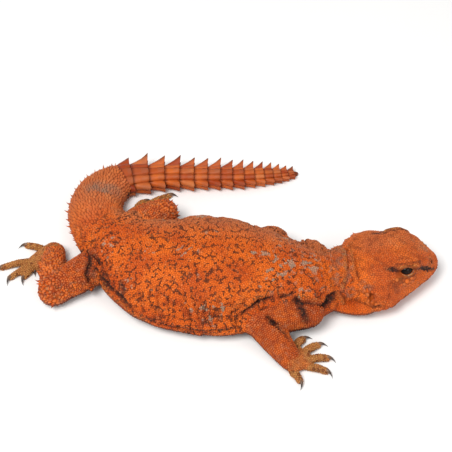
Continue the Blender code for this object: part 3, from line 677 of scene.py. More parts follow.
headCreases = {
    # the same in the head's own places, on both sides; the darkness of the stripes by the eye is their real
    # colour, that of the folds and grooves is painted shade
    "stripeRear": (
        0.75, -0.3, 1.1, 0, (9, 11.9, 26.8), (11.1, 12.2, 27.4), (14.8, 12.1, 27.2), (18.4, 12.8, 26.6),
    ),
    "stripeLid": (
        1.2, -0.3, 1.9, 0, (16, 12.4, 27), (18.4, 12.9, 26.2), (20.4, 13.5, 24.9), (21.6, 13.9, 24.3),
    ),
    "stripeFront": (
        1.05, -0.4, 2, 0, (27.6, 13.2, 24.6), (30, 12.3, 24), (32.7, 11.5, 22.4), (35.6, 10.2, 19.6),
        (38.1, 8.7, 16.8),
    ),
    "stripeTip": (0.8, -0.3, 1.4, 0, (38.1, 8.7, 16.8), (40.4, 7.6, 14.6), (42.7, 6.4, 12.7)),
    "browCrease": (
        0.6, -0.5, 0.05, 0, (15.5, 8.2, 28.2), (18.7, 7.9, 28.3), (21.8, 7.7, 28.5), (26, 8.9, 28.3),
    ),
    "mouthFold": (
        1, -1.8, 1.6, 0, (0.6, 20.5, 11.8), (2.6, 22.2, 12.1), (5, 23.2, 11.6), (7.4, 23.3, 11.8),
    ),
    "mouthFoldLip": (
        0.9, 0.9, 0, 0.25, (0.6, 19.9, 13.8), (2.6, 21.4, 14.1), (5, 22.4, 13.8), (7.2, 22.6, 13.8),
    ),
    "jawFold": (0.9, -1, 0.9, 0, (-1.5, 19.8, 8.4), (2, 21.4, 8), (6, 22.6, 7.4)),
    "earGroove": (0.6, -0.6, 0.45, 0, (5.6, 19.6, 19.2), (6.4, 20.4, 16.4), (5.8, 20.8, 13.8)),
    "cheekFold": (0.7, -0.8, 0.5, 0, (9.5, 20.9, 16.5), (10.8, 21.8, 13.6), (10.2, 22.4, 10.4)),
    "underEye": (
        0.7, -0.5, 0.25, 0, (15.5, 15.6, 21.6), (20, 16.6, 19.6), (25, 15.4, 18), (29.5, 13.6, 17.6),
    ),
}


def nearestOnLine(points, line):
    # Distance of each point to a line of short straight lengths, where the line is near at all.
    line = np.asarray(line, float)
    found = np.full(len(points), 99.0)
    close = np.nonzero(((points > line.min(axis=0) - 6) & (points < line.max(axis=0) + 6)).all(axis=1))[0]
    at = points[close]
    for a, b in zip(line, line[1:]):
        span = b - a
        t = np.clip((at - a) @ span / (span @ span), 0, 1)
        found[close] = np.minimum(found[close], np.linalg.norm(at - a - t[:, None] * span, axis=1))
    return found


def creasesAt(points, label):
    # How far each point moves, its darkness, which is painted shade in the grooves and the real colour of the
    # head's stripes, and its ochre, from all the creases.
    local = toHead(points)
    onHead = label == labels.index("head")
    farHead = onHead & (local[:, 1] > 0)
    local = mirrored(local)
    onArm = np.array([name.startswith("armLeft") for name in labels])[label]
    found = np.zeros((3, len(points)))
    ragged = 1 + 0.35 * noiseAt(points, 1.9, 3.7)
    nearHead = onHead | (local[:, 0] > 4)
    for places, table, allowed in ((points, creases, ~onArm), (local, headCreases, nearHead)):
        for wide, high, dark, ochre, *line in table.values():
            near = bell(nearestOnLine(places, line), wide * ragged) * allowed
            found += np.stack([high * near, dark * near * (1 - 0.5 * farHead), ochre * near])
    return found.T


def flankAt(s, angle, across):
    # Spaces that follow the flanks' skin, how near each point is to a crease of it, and where it is loose.
    bodySpace = np.stack([s, angle * 20, across * 0.25], axis=1)
    warp = noiseAt(bodySpace, 14, 3.1) * 3.5
    creaseSpace = np.stack([s + warp, angle * 6 + warp * 0.4, 0 * s], axis=1)
    crease = network(creaseSpace, wrinkles["flankSize"], 1.7, 0.2)
    low = smooth(-0.5, 0.0, np.sin(angle)) * smooth(0.5, 0.88, np.abs(np.cos(angle)))
    return bodySpace, creaseSpace, crease, trunkAt(s) * low * patches(bodySpace, 17, 9.3, -0.35, 0.15)


def sculpt(points, normals, label, creased):
    # Folds, creases, lids, lips, ears and nostrils, as moves along the skin's normals and round the eyes.
    isBody, isHead = (label == labels.index(name) for name in ("body", "head"))
    isLimb = ~(isBody | isHead)
    s, angle, across = bodyCoords(points)
    bodySpace, creaseSpace, crease, loose = flankAt(s, angle, across)
    loose = loose * isBody
    trunk = trunkAt(s) * isBody
    move = creased[:, 0] - wrinkles["flank"] * crease * loose
    move += 0.9 * loose * noiseAt(creaseSpace, 6.5, 5.5) + 0.55 * loose * noiseAt(creaseSpace, 2.9, 8.5)
    # a fold along the rim of the belly
    degrees = np.degrees(angle) % 360
    fromSide = np.minimum(np.abs(degrees - 180), np.minimum(degrees, 360 - degrees))
    above = np.where((degrees > 0) & (degrees < 180), fromSide, -fromSide)
    sag = above - 13 - 4 * noiseAt(bodySpace, 16, 2.2)
    belly = trunk * smooth(along("chest") + 4, along("midriff") - 8, s)
    move += wrinkles["rim"] * belly * (bell(sag + 6, 4.5) - 0.9 * bell(sag - 3, 2.4))
    # folds across the neck
    local = toHead(points)
    x, y, z = local.T
    neckTop = ~isLimb * smooth(-0.5, 0.2, np.sin(angle)) * (np.abs(y) < 30)
    for at, wide, deep in neckFolds:
        off = x - at - 1.6 * noiseAt(np.stack([y * 0.8, z * 0.8, 0 * s + at * 5], axis=1), 8, 4.4)
        fold = bell(off, wide) - 0.8 * bell(off - wide * 1.9, wide * 0.8)
        move += wrinkles["neck"] * deep * neckTop * fold
    # spine ridge and soft unevenness of the back
    move += trunk * (0.45 * bell(angle - np.pi / 2, 0.1) + 0.35 * noiseAt(points, 9, 6.6))
    # limbs: creases where they bend, and soft muscles
    bends = wrinkles["limb"] * network(points + 40, 4.2, 2.9, 0.18)
    wrists = 0.22 * network(points, 3.0, 7.9, 0.2)
    for name in limbs:
        move -= isLimb * bends * softNear(points, jointAt(name, 1), (9, 9, 9))
        move -= isLimb * wrists * softNear(points, jointAt(name, 2), (7, 7, 7))
    move += isLimb * 0.3 * noiseAt(points, 7, 8.8)
    # the head
    onHead = isHead | (softNear(points, fromHead((20.0, 0, 14)), (26, 26, 26)) > 0.2) & ~isLimb
    for centre, radii, amount in headForms:
        move += onHead * amount * softNear(mirrored(local), centre, radii)
    move += onHead * 0.25 * noiseAt(points, 5.0, 4.2) * (1 - smooth(36, 44, x))
    # a crease behind the jaw, one before the ear, and shallow ones over the cheeks and crown
    behindJaw = onHead * smooth(15, 18, np.abs(y)) * smooth(4, 7, z) * (1 - smooth(16, 20, z))
    move -= 0.8 * bell(x - 10.6 - 0.35 * (z - 10), 0.6) * behindJaw
    move -= 0.6 * bell(x - 14.0 + 0.5 * (z - 8), 0.5) * behindJaw * (z < 12)
    move -= onHead * 0.28 * network(points, 6.5, 12.4, 0.14) * (1 - smooth(30, 38, x))
    # lips and the line of the mouth
    corner = head["mouthCorner"]
    lipX = np.linspace(corner - 1, 46.7, 80)
    lipZ = headPoint(lipX, np.full(80, math.radians(90 - head["lipTurn"])))[:, 2]
    fromLine = z - np.interp(x, lipX, lipZ)
    facing = normals @ headTurn
    mouth = onHead * smooth(corner - 0.8, corner + 1.2, x)
    mouth = mouth * smooth(0.25, 0.6, np.abs(facing[:, 1]) + np.maximum(facing[:, 0], 0))
    move += mouth * (0.3 * bell(np.abs(fromLine) - 1.05, 0.55) - 0.85 * bell(fromLine, 0.34))
    # ears and nostrils
    ear, nostril = earAndNostril(local)
    move += onHead * (0.35 * bell(ear - 1.55, 0.35) - 2.3 * (1 - smooth(0.45, 1.15, ear)))
    move += onHead * (0.32 * bell(nostril - 1.45, 0.4) - 1.3 * (1 - smooth(0.3, 1.0, nostril)))
    # lids: the opening goes in behind the eye's front, with rims and grooves round it
    local = toHead(points + normals * move[:, None])
    for side in (-1, 1):
        centre, outward, _, lift = eyeFrame(side)
        q, reach, _ = eyeSpace(local, side)
        radius = np.linalg.norm(q, axis=1)
        inner = eye["radius"] - 0.75
        lidded = inner + (radius - inner) * smooth(0.98, 1.14, reach)
        rings = (eye["rim"], 1.2, 0.1), (0.16, 1.62, 0.1), (-0.22, 1.42, 0.08), (-0.2, 1.85, 0.08)
        for high, at, wide in rings:
            lidded += high * bell(reach - at, wide)
        # the brow overhangs the upper lid
        lidded += 0.35 * bell(reach - 2.3, 0.35) * smooth(0.5, 3.5, q @ lift)
        close = (radius < eye["field"]) & (q @ outward > 0.5)
        local = np.where(close[:, None], centre + unit(q) * lidded[:, None], local)
    made = fromHead(local)
    made[:, 2] = np.maximum(made[:, 2], 0.0)
    return made


def skinNormalsNow():
    return read(oneSkin.vertex_normals, "vector", np.float32, 3).astype(float)


skinCreases = creasesAt(skinPoints, skinLabel)
skinPoints = sculpt(skinPoints, skinNormalsNow(), skinLabel, skinCreases)
oneSkin.vertices.foreach_set("co", toMetres(skinPoints).astype(np.float32).ravel())
oneSkin.update()
oneSkin.shade_smooth()
skinNormals = skinNormalsNow()
skinTree = BVHTree.FromObject(skin, bpy.context.evaluated_depsgraph_get())
firstLoops = read(oneSkin.polygons, "loop_start")
loopVertices = read(oneSkin.loops, "vertex_index")
faceLabel = skinLabel[loopVertices[firstLoops]]
faceCreases = (skinCreases[loopVertices[firstLoops]] + skinCreases[loopVertices[firstLoops + 2]]) / 2
print("skin: folds, lids, lips, ears and nostrils are in")

# Patches of grey and dark, shared by the skin and by everything that grows on it
blotches = {
    # kind, centre, radii, strength, then size, seed and range of the noise that breaks each up
    "ear": ("grey", (64, -46, 16.4), (2.4, 2.6, 3.0), 0.9, 2.6, 5.2, -0.3, 0.2),
    "neck": ("grey", (59.5, -36, 23), (5.5, 13, 6), 0.75, 3.5, 1.2, -0.3, 0.4),
    "snout": ("grey", (102.5, -20.0, 22.5), (5.5, 3.5, 5), 0.6, 3.2, 8.2, -0.1, 0.35),
    "cheek": ("grey", (71.4, -44.5, 20.5), (3.4, 3.4, 4), 0.6, 2.5, 8.9, -0.3, 0.2),
    "tail": ("dark", (-51.1, 34.5, 8), (3.4, 3.6, 5), 0.9, 4.0, 5.9, -0.45, 0.15),
    "smudge": ("dark", (85.4, -44.5, 20.5), (3.2, 2.8, 3), 0.55, 4.0, 5.55, -0.45, 0.15),
    "shank": ("dark", (-94.5, -19, 12), (3.2, 5.5, 4), 0.35, 4.0, 5.35, -0.45, 0.15),
    "groin": ("dark", (-70, -29, 17), (3.0, 6, 5), 0.5, 4.0, 5.5, -0.45, 0.15),
}
tailPatch = ((-67.5, 26.5, 15.5), (8.5, 4.5, 8))
# place and radii of the painted shade under the jowl
jowlShade = ((67, -50.5, 6.5), (13, 5, 4.5))
greyLine = ((14.7, -35.1, 34.8), (22.3, -36.4, 33.9), (32.4, -38.0, 31.9), (45.3, -37.9, 28.5))


def blotched(points, wanted):
    found = np.zeros(len(points))
    for kind, centre, radii, strength, *broken in blotches.values():
        if kind == wanted:
            found += strength * softNear(points, centre, radii) * patches(points, *broken)
    return found


def onSkin(p):
    # Nearest place on the skin, its normal, how far off it is, and its face.
    found = skinTree.find_nearest(toMetres(p).tolist())
    return fromMetres(found[0]), np.array(found[1]), found[3] / milli, found[2]


def skinFaces(points):
    return np.array([skinTree.find_nearest(p)[2] for p in toMetres(points).tolist()])


def weightsAt(points, label, creased=None, normals=None):
    # Two sets of four weights: tan, grey, dark, which holds real dark marks and painted shade, and far side,
    # which is painted light, then back, flecks, limb grain and mottling.
    s, angle, across = bodyCoords(points)
    x, y, z = toHead(points).T
    name = np.array(labels)[label]
    isBody = name == "body"
    isLimb = np.char.find(name, ".") > 0
    isLeg = np.char.startswith(name, "leg")
    digit = np.char.find(name, "digit") > 0
    palm = np.char.endswith(name, "palm")
    longPart = isLimb & ~digit & ~palm
    onHead = (name == "head") | (x > 2) & isBody & (s < 4)
    headShare = smooth(-8, 12, x) * (s < 8) * ~isLimb
    trunk = smooth(along("neck") - 2, along("shoulders"), s) * isBody
    trunk = trunk * (1 - smooth(along("vent") - 6, along("vent") + 9, s))
    tan = np.maximum(digit * 1.0 + palm * 0.45, palm * isLeg * 0.85)
    for part in limbParts.values():
        fromKnuckles = np.linalg.norm(points - part["rows"]["palm"]["points"][-1], axis=1)
        tan = np.maximum(tan, isLimb * (1 - smooth(2.0, 9.0, fromKnuckles)))
    wobble = noiseAt(points, 6, 3.3)[:, None] * 2.4
    grey = 0.95 * softNear(points + wobble, *tailPatch) + blotched(points, "grey")
    if creased is None:
        creased = faceCreases[skinFaces(points)]
    # darkness from the creases: painted shade in grooves and under folds, and the head's real dark stripes
    dark = creased[:, 1] * (0.6 + 0.4 * patches(points, 2.2, 6.4, -0.35, 0.1))
    tan = tan + 0.8 * creased[:, 2]
    # a pale ring on the lids, and a dark one round it that runs into the stripe
    for side in (-1, 1):
        _, reach, ahead = eyeSpace(toHead(points), side)
        offCorners = 1 - smooth(0.6, 0.92, ahead / np.maximum(reach, 0.5))
        tan = tan + 0.8 * bell(reach - 1.32, 0.16) * offCorners
        dark = dark * (1 - bell(reach - 1.3, 0.18) * offCorners)
        dark += 0.75 * bell(reach - 1.72, 0.16) * (0.55 + 0.45 * patches(points, 1.8, 2.4, -0.3, 0.3))
    dark += blotched(points, "dark")
    # mouth, and nostrils whose pits are darkened as painted shade
    mouthGap = np.interp(x, [13.5, 46.7], [8.8, 9.9])
    mouthDots = 0.35 + 0.65 * patches(points, 1.6, 4.4, -0.25, 0.1)
    dark += onHead * 1.3 * bell(z - mouthGap, 0.7) * smooth(13, 15, x) * mouthDots
    _, nostril = earAndNostril(toHead(points))
    # painted shade in the nostril's pit
    dark += 1.1 * smooth(1.7, 1.0, nostril)
    tan = tan + 0.6 * bell(nostril - 2.2, 0.5)
    dark += onHead * 0.3 * patches(points, 3.0, 9.4, 0.22, 0.42) * (1 - smooth(34, 40, x))
    # tail tip and rings, painted shade in the creases of the flank, the near arm, and painted shade on all
    # that faces down
    towardTip = smooth(along("tailTaper") - 20, along("tailTip"), s) * isBody
    dark += 0.5 * towardTip * patches(points, 5, 1.1, -0.2, 0.5)
    _, _, crease, loose = flankAt(s, angle, across)
    # painted shade in the creases of the loose flank skin
    dark += 0.5 * crease * loose * isBody * patches(points, 4, 2.6, -0.3, 0.2)
    ringed = smooth(along("tailBend"), along("tailStraight"), s)
    dark += 0.2 * ringed * isBody + 0.1 * longPart * np.char.startswith(name, "armRight")
    if normals is not None:
        # painted shade on the undersides of trunk and limbs, where they face down
        dark += 0.8 * (isBody * trunk + longPart) * smooth(-0.05, -0.42, normals[:, 2])
        # painted shade under the jowl, darker and greyer where the loose throat skin faces down
        under = softNear(points, *jowlShade) * ~isLimb * smooth(0.2, -0.3, normals[:, 2])
        dark += 0.65 * under
        grey += 0.5 * under
    # painted light: a paler, greyer tone on the far side of the body, the tail's base and the head, for how
    # the light falls on the side turned away
    farSide = isBody * smooth(0.05, 0.75, np.cos(angle)) * (1 - smooth(along("vent"), along("tailRoot"), s))
    farTail = isBody * (0.85 - 0.6 * ringed) * smooth(along("vent") - 10, along("tailRoot") + 6, s)
    farSide = np.maximum.reduce([farSide, farTail, headShare * (0.2 + 0.45 * smooth(-4, 6, y))])
    neckBack = smooth(along("shoulders") + 4, along("shoulders") - 4, s) * smooth(-0.3, 0.1, np.sin(angle))
    back = np.maximum(trunk * smooth(-0.35, -0.1, np.sin(angle)), 0.75 * longPart * isLeg)
    back = np.maximum(back, 0.8 * ~isLimb * neckBack * (1 - headShare))
    back = np.maximum(back, 0.25 * isBody * (s > along("vent")) * (s < along("tailShoulder")))
    fleck = bell(nearestOnLine(points, greyLine), 2.2)
    fleck += 0.3 * trunk * patches(points, 12, 7.7, 0.15, 0.5)
    fleck += 0.16 * isBody * (s < along("chest")) * smooth(0.2, 0.8, np.sin(angle)) + 0.14 * isLimb
    grain = np.maximum(isLimb, 0.3 * isBody * smooth(0.25, 0.7, -np.sin(angle)))
    flank = trunk * smooth(0.6, 0.9, np.abs(np.cos(angle))) * smooth(-0.3, -0.1, np.sin(angle))
    mottled = 0.15 + 0.85 * flank + 0.5 * isLimb + 0.3 * headShare + 0.3 * isBody * (s > along("vent"))
    first = np.stack([tan, grey, dark, farSide], axis=1)
    second = np.stack([back, fleck, grain, mottled], axis=1)
    return np.clip(first, 0, 1), np.clip(second, 0, 1)


def giveColours(mesh, **layers):
    for name, values in layers.items():
        layer = mesh.color_attributes.new(name, "FLOAT_COLOR", "POINT")
        layer.data.foreach_set("color", values.astype(np.float32).ravel())


zones, patterns = weightsAt(skinPoints, skinLabel, skinCreases, skinNormals)
giveColours(oneSkin, zones=zones, patterns=patterns)
patchRadius = 0.0015


def circleOf(sides):
    turn = fullTurn * np.arange(sides) / sides
    return np.stack([np.cos(turn), np.sin(turn)], axis=1)


def coneFaces(rings, sides):
    # Triangles of a closed cone: strips between its rings, then its tip and its underside.
    i = np.arange(sides)
    j = (i + 1) % sides
    faces = []
    for low in range(0, (rings - 1) * sides, sides):
        high = low + sides
        faces.append(np.stack([low + i, low + j, high + j], axis=1))
        faces.append(np.stack([low + i, high + j, high + i], axis=1))
    last = (rings - 1) * sides
    faces.append(np.stack([last + i, last + j, np.full(sides, last + sides)], axis=1))
    faces.append(np.stack([np.full(sides - 2, 0), i[2:], i[1:-1]], axis=1))
    return np.concatenate(faces)


def joinedMesh(name, points, faces, root, patch, rise, weights, tint, finish, lowest=0.05):
    # One mesh of many small alike pieces. Each takes a small patch of the map at its root's place, and
    # carries the weights of its place, two tints of its own and how far up it each point stands.
    n, size = points.shape[:2]
    points[..., 2] = np.maximum(points[..., 2], lowest)
    corners = (faces[None] + (np.arange(n) * size)[:, None, None]).astype(np.int32).ravel()
    mesh = bpy.data.meshes.new(name)
    mesh.vertices.add(n * size)
    mesh.vertices.foreach_set("co", toMetres(points).astype(np.float32).ravel())
    mesh.loops.add(len(corners))
    mesh.loops.foreach_set("vertex_index", corners)
    mesh.polygons.add(len(corners) // 3)
    mesh.polygons.foreach_set("loop_start", np.arange(0, len(corners), 3, dtype=np.int32))
    mesh.polygons.foreach_set("loop_total", np.full(len(corners) // 3, 3, np.int32))
    mesh.update(calc_edges=True)
    mesh.validate()
    mesh.shade_smooth()
    mesh.materials.append(finish)
    spots = (root[:, None] + patch[None]).reshape(-1, 2)
    mesh.uv_layers.new(name="OFBake").data.foreach_set("uv", spots[corners].astype(np.float32).ravel())
    each = [np.repeat(tint[:, 0], size), np.tile(rise, n), np.repeat(tint[:, 1], size), np.ones(n * size)]
    places = [np.repeat(values, size, axis=0) for values in weights]
    giveColours(mesh, zones=places[0], patterns=places[1], grain=np.stack(each, axis=1))
    made = bpy.data.objects.new(name, mesh)
    bpy.context.scene.collection.objects.link(made)
    return made


# Scales of each part: spacing, height and lean towards the tail or the toes
scales = {
    "back": (1.02, 0.25, 0.35),
    "flank": (0.98, 0.32, 0.3),
    "belly": (1.5, 0.2, 0.2),
    "neck": (0.98, 0.34, 0.3),
    "head": (1.0, 0.2, 0.0),
    "limb": (1.1, 0.42, 0.6),
    "palm": (0.95, 0.28, 0.35),
    "digit": (1.05, 0.32, 0.45),
    "leg": (1.12, 0.34, 0.6),
    "tailBase": (1.25, 0.5, 1.0),
}
bigPlates = (
    # centre, radii and added size of the larger scales on the head, on both sides
    ((22.5, 16.5, 21.0), (5.5, 3.0, 3.0), 0.75),
    ((26.5, 15.5, 19.0), (5.0, 3.0, 2.6), 0.6),
    ((3.0, 18.5, 18.0), (2.6, 3.0, 5.0), 0.7),
    ((38.0, 2.0, 22.5), (5.0, 5.0, 3.0), 0.35),
    ((30.0, 12.0, 12.0), (12.0, 5.0, 2.4), 0.35),
    ((24.0, 4.0, 28.0), (6.0, 6.0, 3.0), 0.15),
)
cell = 1.7
grid = {}
sites = []


def cellOf(p):
    return int(p[0] // cell), int(p[1] // cell), int(p[2] // cell)


def crowded(p, size):
    # True where a scale already stands too near.
    i, j, k = cellOf(p)
    for x in (i - 1, i, i + 1):
        for y in (j - 1, j, j + 1):
            for z in (k - 1, k, k + 1):
                for q, other in grid.get((x, y, z), ()):
                    reach = 0.42 * (size + other)
                    if (p[0] - q[0]) ** 2 + (p[1] - q[1]) ** 2 + (p[2] - q[2]) ** 2 < reach * reach:
                        return True
    return False


def addSite(p, normal, ahead, size, height, lean, face):
    if not crowded(p, size):
        grid.setdefault(cellOf(p), []).append((p, size))
        sites.append((p, normal, ahead, size, height, lean, face))


def limbScales(label, row, kind, reach):
    # Staggered rows of scales round one length of a limb, where its surface is also the skin's.
    spacing, height, lean = scales[kind]
    n = max(3, int(row["length"] / (spacing * 0.87)))
    for j in range(-3, n + 4):
        place, heading, side, lift, size = (v[0] for v in limbFrame(row, [min(max(j / n, 0.0), 1.0)]))
        push = (max(j - n, 0) + min(j, 0)) * spacing * 0.8
        shrink = math.sqrt(max(0.1, 1 - (push / min(size)) ** 2))
        count = max(5, int(fullTurn * size.mean() * shrink / spacing))
        for k in range(count):
            turn = fullTurn * (k + 0.5 * (j % 2)) / count
            p = place + heading * push + rng.normal(0, 0.06, 3) * spacing
            p = p + side * math.cos(turn) * size[0] * shrink + lift * math.sin(turn) * size[1] * shrink
            spot, normal, gone, face = onSkin(p)
            mine = faceLabel[face] == labels.index(label)
            if gone < reach and mine and not (normal[2] < -0.5 and spot[2] < 0.6):
                addSite(spot, normal, heading, spacing * rng.uniform(0.95, 1.08), height, lean, face)


# Kind of scale and reach of each length of a limb that has them in rows; the legs' are scattered
rowKinds = {"upper": ("limb", 2.6), "lower": ("limb", 2.2), "palm": ("palm", 1.5)}
limbAxes = {}
for name, part in limbParts.items():
    for band, (key, row) in enumerate(part["rows"].items()):
        limbAxes[f"{name}.{key}"] = (row["points"][0], row["points"][-1], band / 8)
        kind, reach = rowKinds.get(key, ("digit", 0.9))
        if not (name.startswith("leg") and kind == "limb"):
            limbScales(f"{name}.{key}", row, kind, reach)
print(f"scales: {len(sites)} in rows on the limbs")


def lieAt(points, label):
    # Which way the scales of each place point, and its place on the chart of its part, from 0 to 1 each way.
    s, angle, _ = bodyCoords(points)
    ahead = tailward(s)
    chart = np.stack([s / spineLength, (angle / fullTurn + 0.25) % 1], axis=1)
    onHead = label == labels.index("head")
    x, y, z = toHead(points[onHead]).T
    ahead[onHead] = headTurn @ (-1.0, 0, 0)
    chart[onHead] = np.stack([(x + 6) / 54, (np.arctan2(z - 14, y) / fullTurn + 0.25) % 1], axis=1)
    for key, (start, end, band) in limbAxes.items():
        mine = label == labels.index(key)
        heading = unit(end - start)
        off = points[mine] - start
        share = off @ heading / np.linalg.norm(end - start)
        side = unit(np.cross(heading, up))
        turn = np.arctan2(off @ np.cross(side, heading), off @ side)
        ahead[mine] = heading
        chart[mine] = np.stack([band + np.clip((share + 0.5) / 2, 0, 1) / 8, (turn / fullTurn) % 1], axis=1)
    return ahead, chart


def scatter(rounds):
    # Fills the rest of the skin with scales at each place's own spacing, in random order.
    oneSkin.calc_loop_triangles()
    corners = read(oneSkin.loop_triangles, "vertices", width=3)
    owners = read(oneSkin.loop_triangles, "polygon_index")
    triangles = skinPoints[corners]
    middle = triangles.mean(axis=1)
    cross = np.cross(triangles[:, 1] - triangles[:, 0], triangles[:, 2] - triangles[:, 0])
    area = np.linalg.norm(cross, axis=1) / 2
    label = faceLabel[owners]
    name = np.array(labels)[label]
    s, angle, _ = bodyCoords(middle)
    onHead = name == "head"
    isBody = name == "body"
    isPalm = np.char.endswith(name, "palm")
    isDigit = np.char.find(name, "digit") > 0
    isLeg = np.char.startswith(name, "leg") & ~isPalm & ~isDigit
    where = {
        "limb": ~isBody,
        "back": isBody,
        "flank": isBody & (np.abs(np.cos(angle)) > 0.8),
        "belly": isBody & (np.sin(angle) < -0.25),
        "neck": isBody & (s < along("shoulders") - 2),
        "head": onHead,
        "palm": isPalm,
        "digit": isDigit,
        "leg": isLeg,
        "tailBase": isBody & (s > along("vent") + 1),
    }
    table = np.empty((len(middle), 3))
    for kind, mine in where.items():
        table[mine] = scales[kind]
    size, height, lean = table.T
    local = mirrored(toHead(middle))
    for centre, radii, more in bigPlates:
        size = size + onHead * more * softNear(local, centre, radii)
    size = size * (1 + 0.25 * isBody * smooth(along("loin"), along("hips"), s))
    for limb in ("legRight", "legLeft"):
        knee, ankle = jointAt(limb, 1), jointAt(limb, 2)
        rough = softNear(middle, knee, (9, 9, 9)) + 0.6 * softNear(middle, (knee + ankle) / 2, (7, 9, 9))
        rough *= smooth(-0.2, 0.3, noiseAt(middle, 5, 1.3) + 0.25)
        size = size + isLeg * 1.2 * np.clip(rough, 0, 1)
    onRings = isBody & (s > whorlEdges[tail["baseWhorls"] - 2] - 0.3)
    bare = (cross[:, 2] < 0) & (middle[:, 2] < 0.9) | onRings
    weight = np.where(bare, 0, area / size**2)
    picks = rng.choice(len(weight), int(weight.sum() * rounds), p=weight / weight.sum())
    u, v = rng.random((2, len(picks)))
    flip = u + v > 1
    u, v = np.where(flip, 1 - u, u)[:, None], np.where(flip, 1 - v, v)[:, None]

    def between(values):
        return values[picks, 0] * (1 - u - v) + values[picks, 1] * u + values[picks, 2] * v

    at = between(triangles)
    normal = unit(between(skinNormals[corners]))
    ahead, _ = lieAt(at, label[picks])
    sizes = size[picks] * rng.uniform(0.86, 1.14, len(picks))
    for k, (p, i) in enumerate(zip(at.tolist(), picks)):
        addSite(p, normal[k], ahead[k], sizes[k], height[i] * (0.75 + 0.25 * size[i]), lean[i], owners[i])


scatter(11)
print(f"scales: {len(sites)} in all")


def openPlaces(points):
    # True where a scale would lie over the opening or lid rim of an eye, or in an ear or nostril.
    local = toHead(points)
    ear, nostril = earAndNostril(local)
    covered = (ear < 1.1) | (nostril < 1.25)
    for side in (-1, 1):
        covered |= eyeSpace(local, side)[1] < 1.32
    return covered


sites = [site for site, hidden in zip(sites, openPlaces(np.array([site[0] for site in sites]))) if not hidden]
siteAt, siteNormal, siteAhead = (np.array([site[k] for site in sites]) for k in range(3))
siteSize, siteHeight, siteLean = np.array([site[3:6] for site in sites]).T
siteLabel = faceLabel[np.array([site[6] for site in sites])]
siteNormal = unit(siteNormal)
_, siteChart = lieAt(siteAt, siteLabel)
# The piece of coat that each scale belongs to: the body's go by where along the spine each ends
bodyPieces = {
    "neckScales": along("shoulders") - 3,
    "chestScales": along("chest") + 8,
    "midriffScales": along("midriff") + 10,
    "loinScales": along("loin") + 2,
    "hipScales": along("vent") + 3,
    "tailBaseScales": spineLength,
}
band = np.searchsorted(list(bodyPieces.values()), bodyCoords(siteAt)[0])
onLimb = np.array([name.split(".")[0] + "Scales" for name in labels])[siteLabel]
sitePiece = np.where(siteLabel == labels.index("body"), np.array(list(bodyPieces))[band], onLimb)

# Outline of each scale: in every direction it ends where a neighbour's share of the gap begins
tree = KDTree(len(siteAt))
for k, p in enumerate(siteAt.tolist()):
    tree.insert(p, k)
tree.balance()
neighbours = np.array([[i for _, i, _ in tree.find_n(p, 11)] for p in siteAt.tolist()])[:, 1:]
ahead = unit(siteAhead - siteNormal * (siteAhead * siteNormal).sum(axis=1, keepdims=True))
sideways = np.cross(siteNormal, ahead)
gap = siteAt[neighbours] - siteAt[:, None]
flatA, flatB = ((gap * way[:, None]).sum(axis=2) for way in (ahead, sideways))
facing = (siteNormal[neighbours] * siteNormal[:, None]).sum(axis=2) > 0.1
shareOut = siteSize[:, None] / (siteSize[:, None] + siteSize[neighbours])
gapShare = (np.hypot(flatA, flatB) + 1e-6) * shareOut
directions = 7
# width of the gap left between scales, where the skin shows, darkened as painted shade
shadedSeam = 0.06
outlines = np.empty((len(siteAt), directions))
for d in range(directions):
    toward = np.cos(fullTurn * d / directions - np.arctan2(flatB, flatA))
    limit = np.where((toward > 0.12) & facing, gapShare / np.maximum(toward, 0.12), 9)
    outlines[:, d] = np.clip(limit.min(axis=1) - shadedSeam, siteSize * 0.2, siteSize * 0.68)
siteWeights = weightsAt(siteAt, siteLabel, None, siteNormal)
tints = rng.random((len(siteAt), 2))


def buildScales(piece, finish):
    # One joined mesh of the piece's scales: each a low dome whose outline meets its neighbours'.
    pick = sitePiece == piece
    out, tint, chart = outlines[pick], tints[pick], siteChart[pick]
    a, b, normal, at = (v[pick][:, None] for v in (ahead, sideways, siteNormal, siteAt))
    lean = siteLean[pick][:, None]
    high = siteHeight[pick][:, None] * (0.85 + 0.3 * tint[:, :1])
    wide = out.mean(axis=1, keepdims=True)
    circle = circleOf(directions)
    cos, sin = circle.T
    slope = high * (1 + lean * 0.9 * cos)
    rings = []
    forms = (1.0, -0.3, 0), (0.97, 0.15 * slope, 0), (0.66, 0.8 * slope, lean * 0.25 * wide)
    for share, lift, shift in forms:
        radius = out * share
        flat = at + a * (radius * cos + shift)[..., None] + b * (radius * sin)[..., None]
        rings.append(flat + normal * (lift + 0 * radius)[..., None])
    top = at + a * (lean * 0.55 * wide)[..., None] + normal * (high * (1.0 + 0.35 * lean))[..., None]
    chartLow, chartHigh = chart.min(axis=0), chart.max(axis=0)
    return joinedMesh(
        piece,
        np.concatenate([*rings, top], axis=1),
        coneFaces(3, directions),
        0.01 + 0.98 * (chart - chartLow) / np.maximum(chartHigh - chartLow, 1e-6),
        np.concatenate([circle, circle * 0.9, circle * 0.6, [[0, 0]]]) * patchRadius,
        np.concatenate([np.repeat([0, 0.35, 0.85], directions), [1.0]]),
        [weights[pick] for weights in siteWeights],
        tint,
        finish,
        0.02,
    )


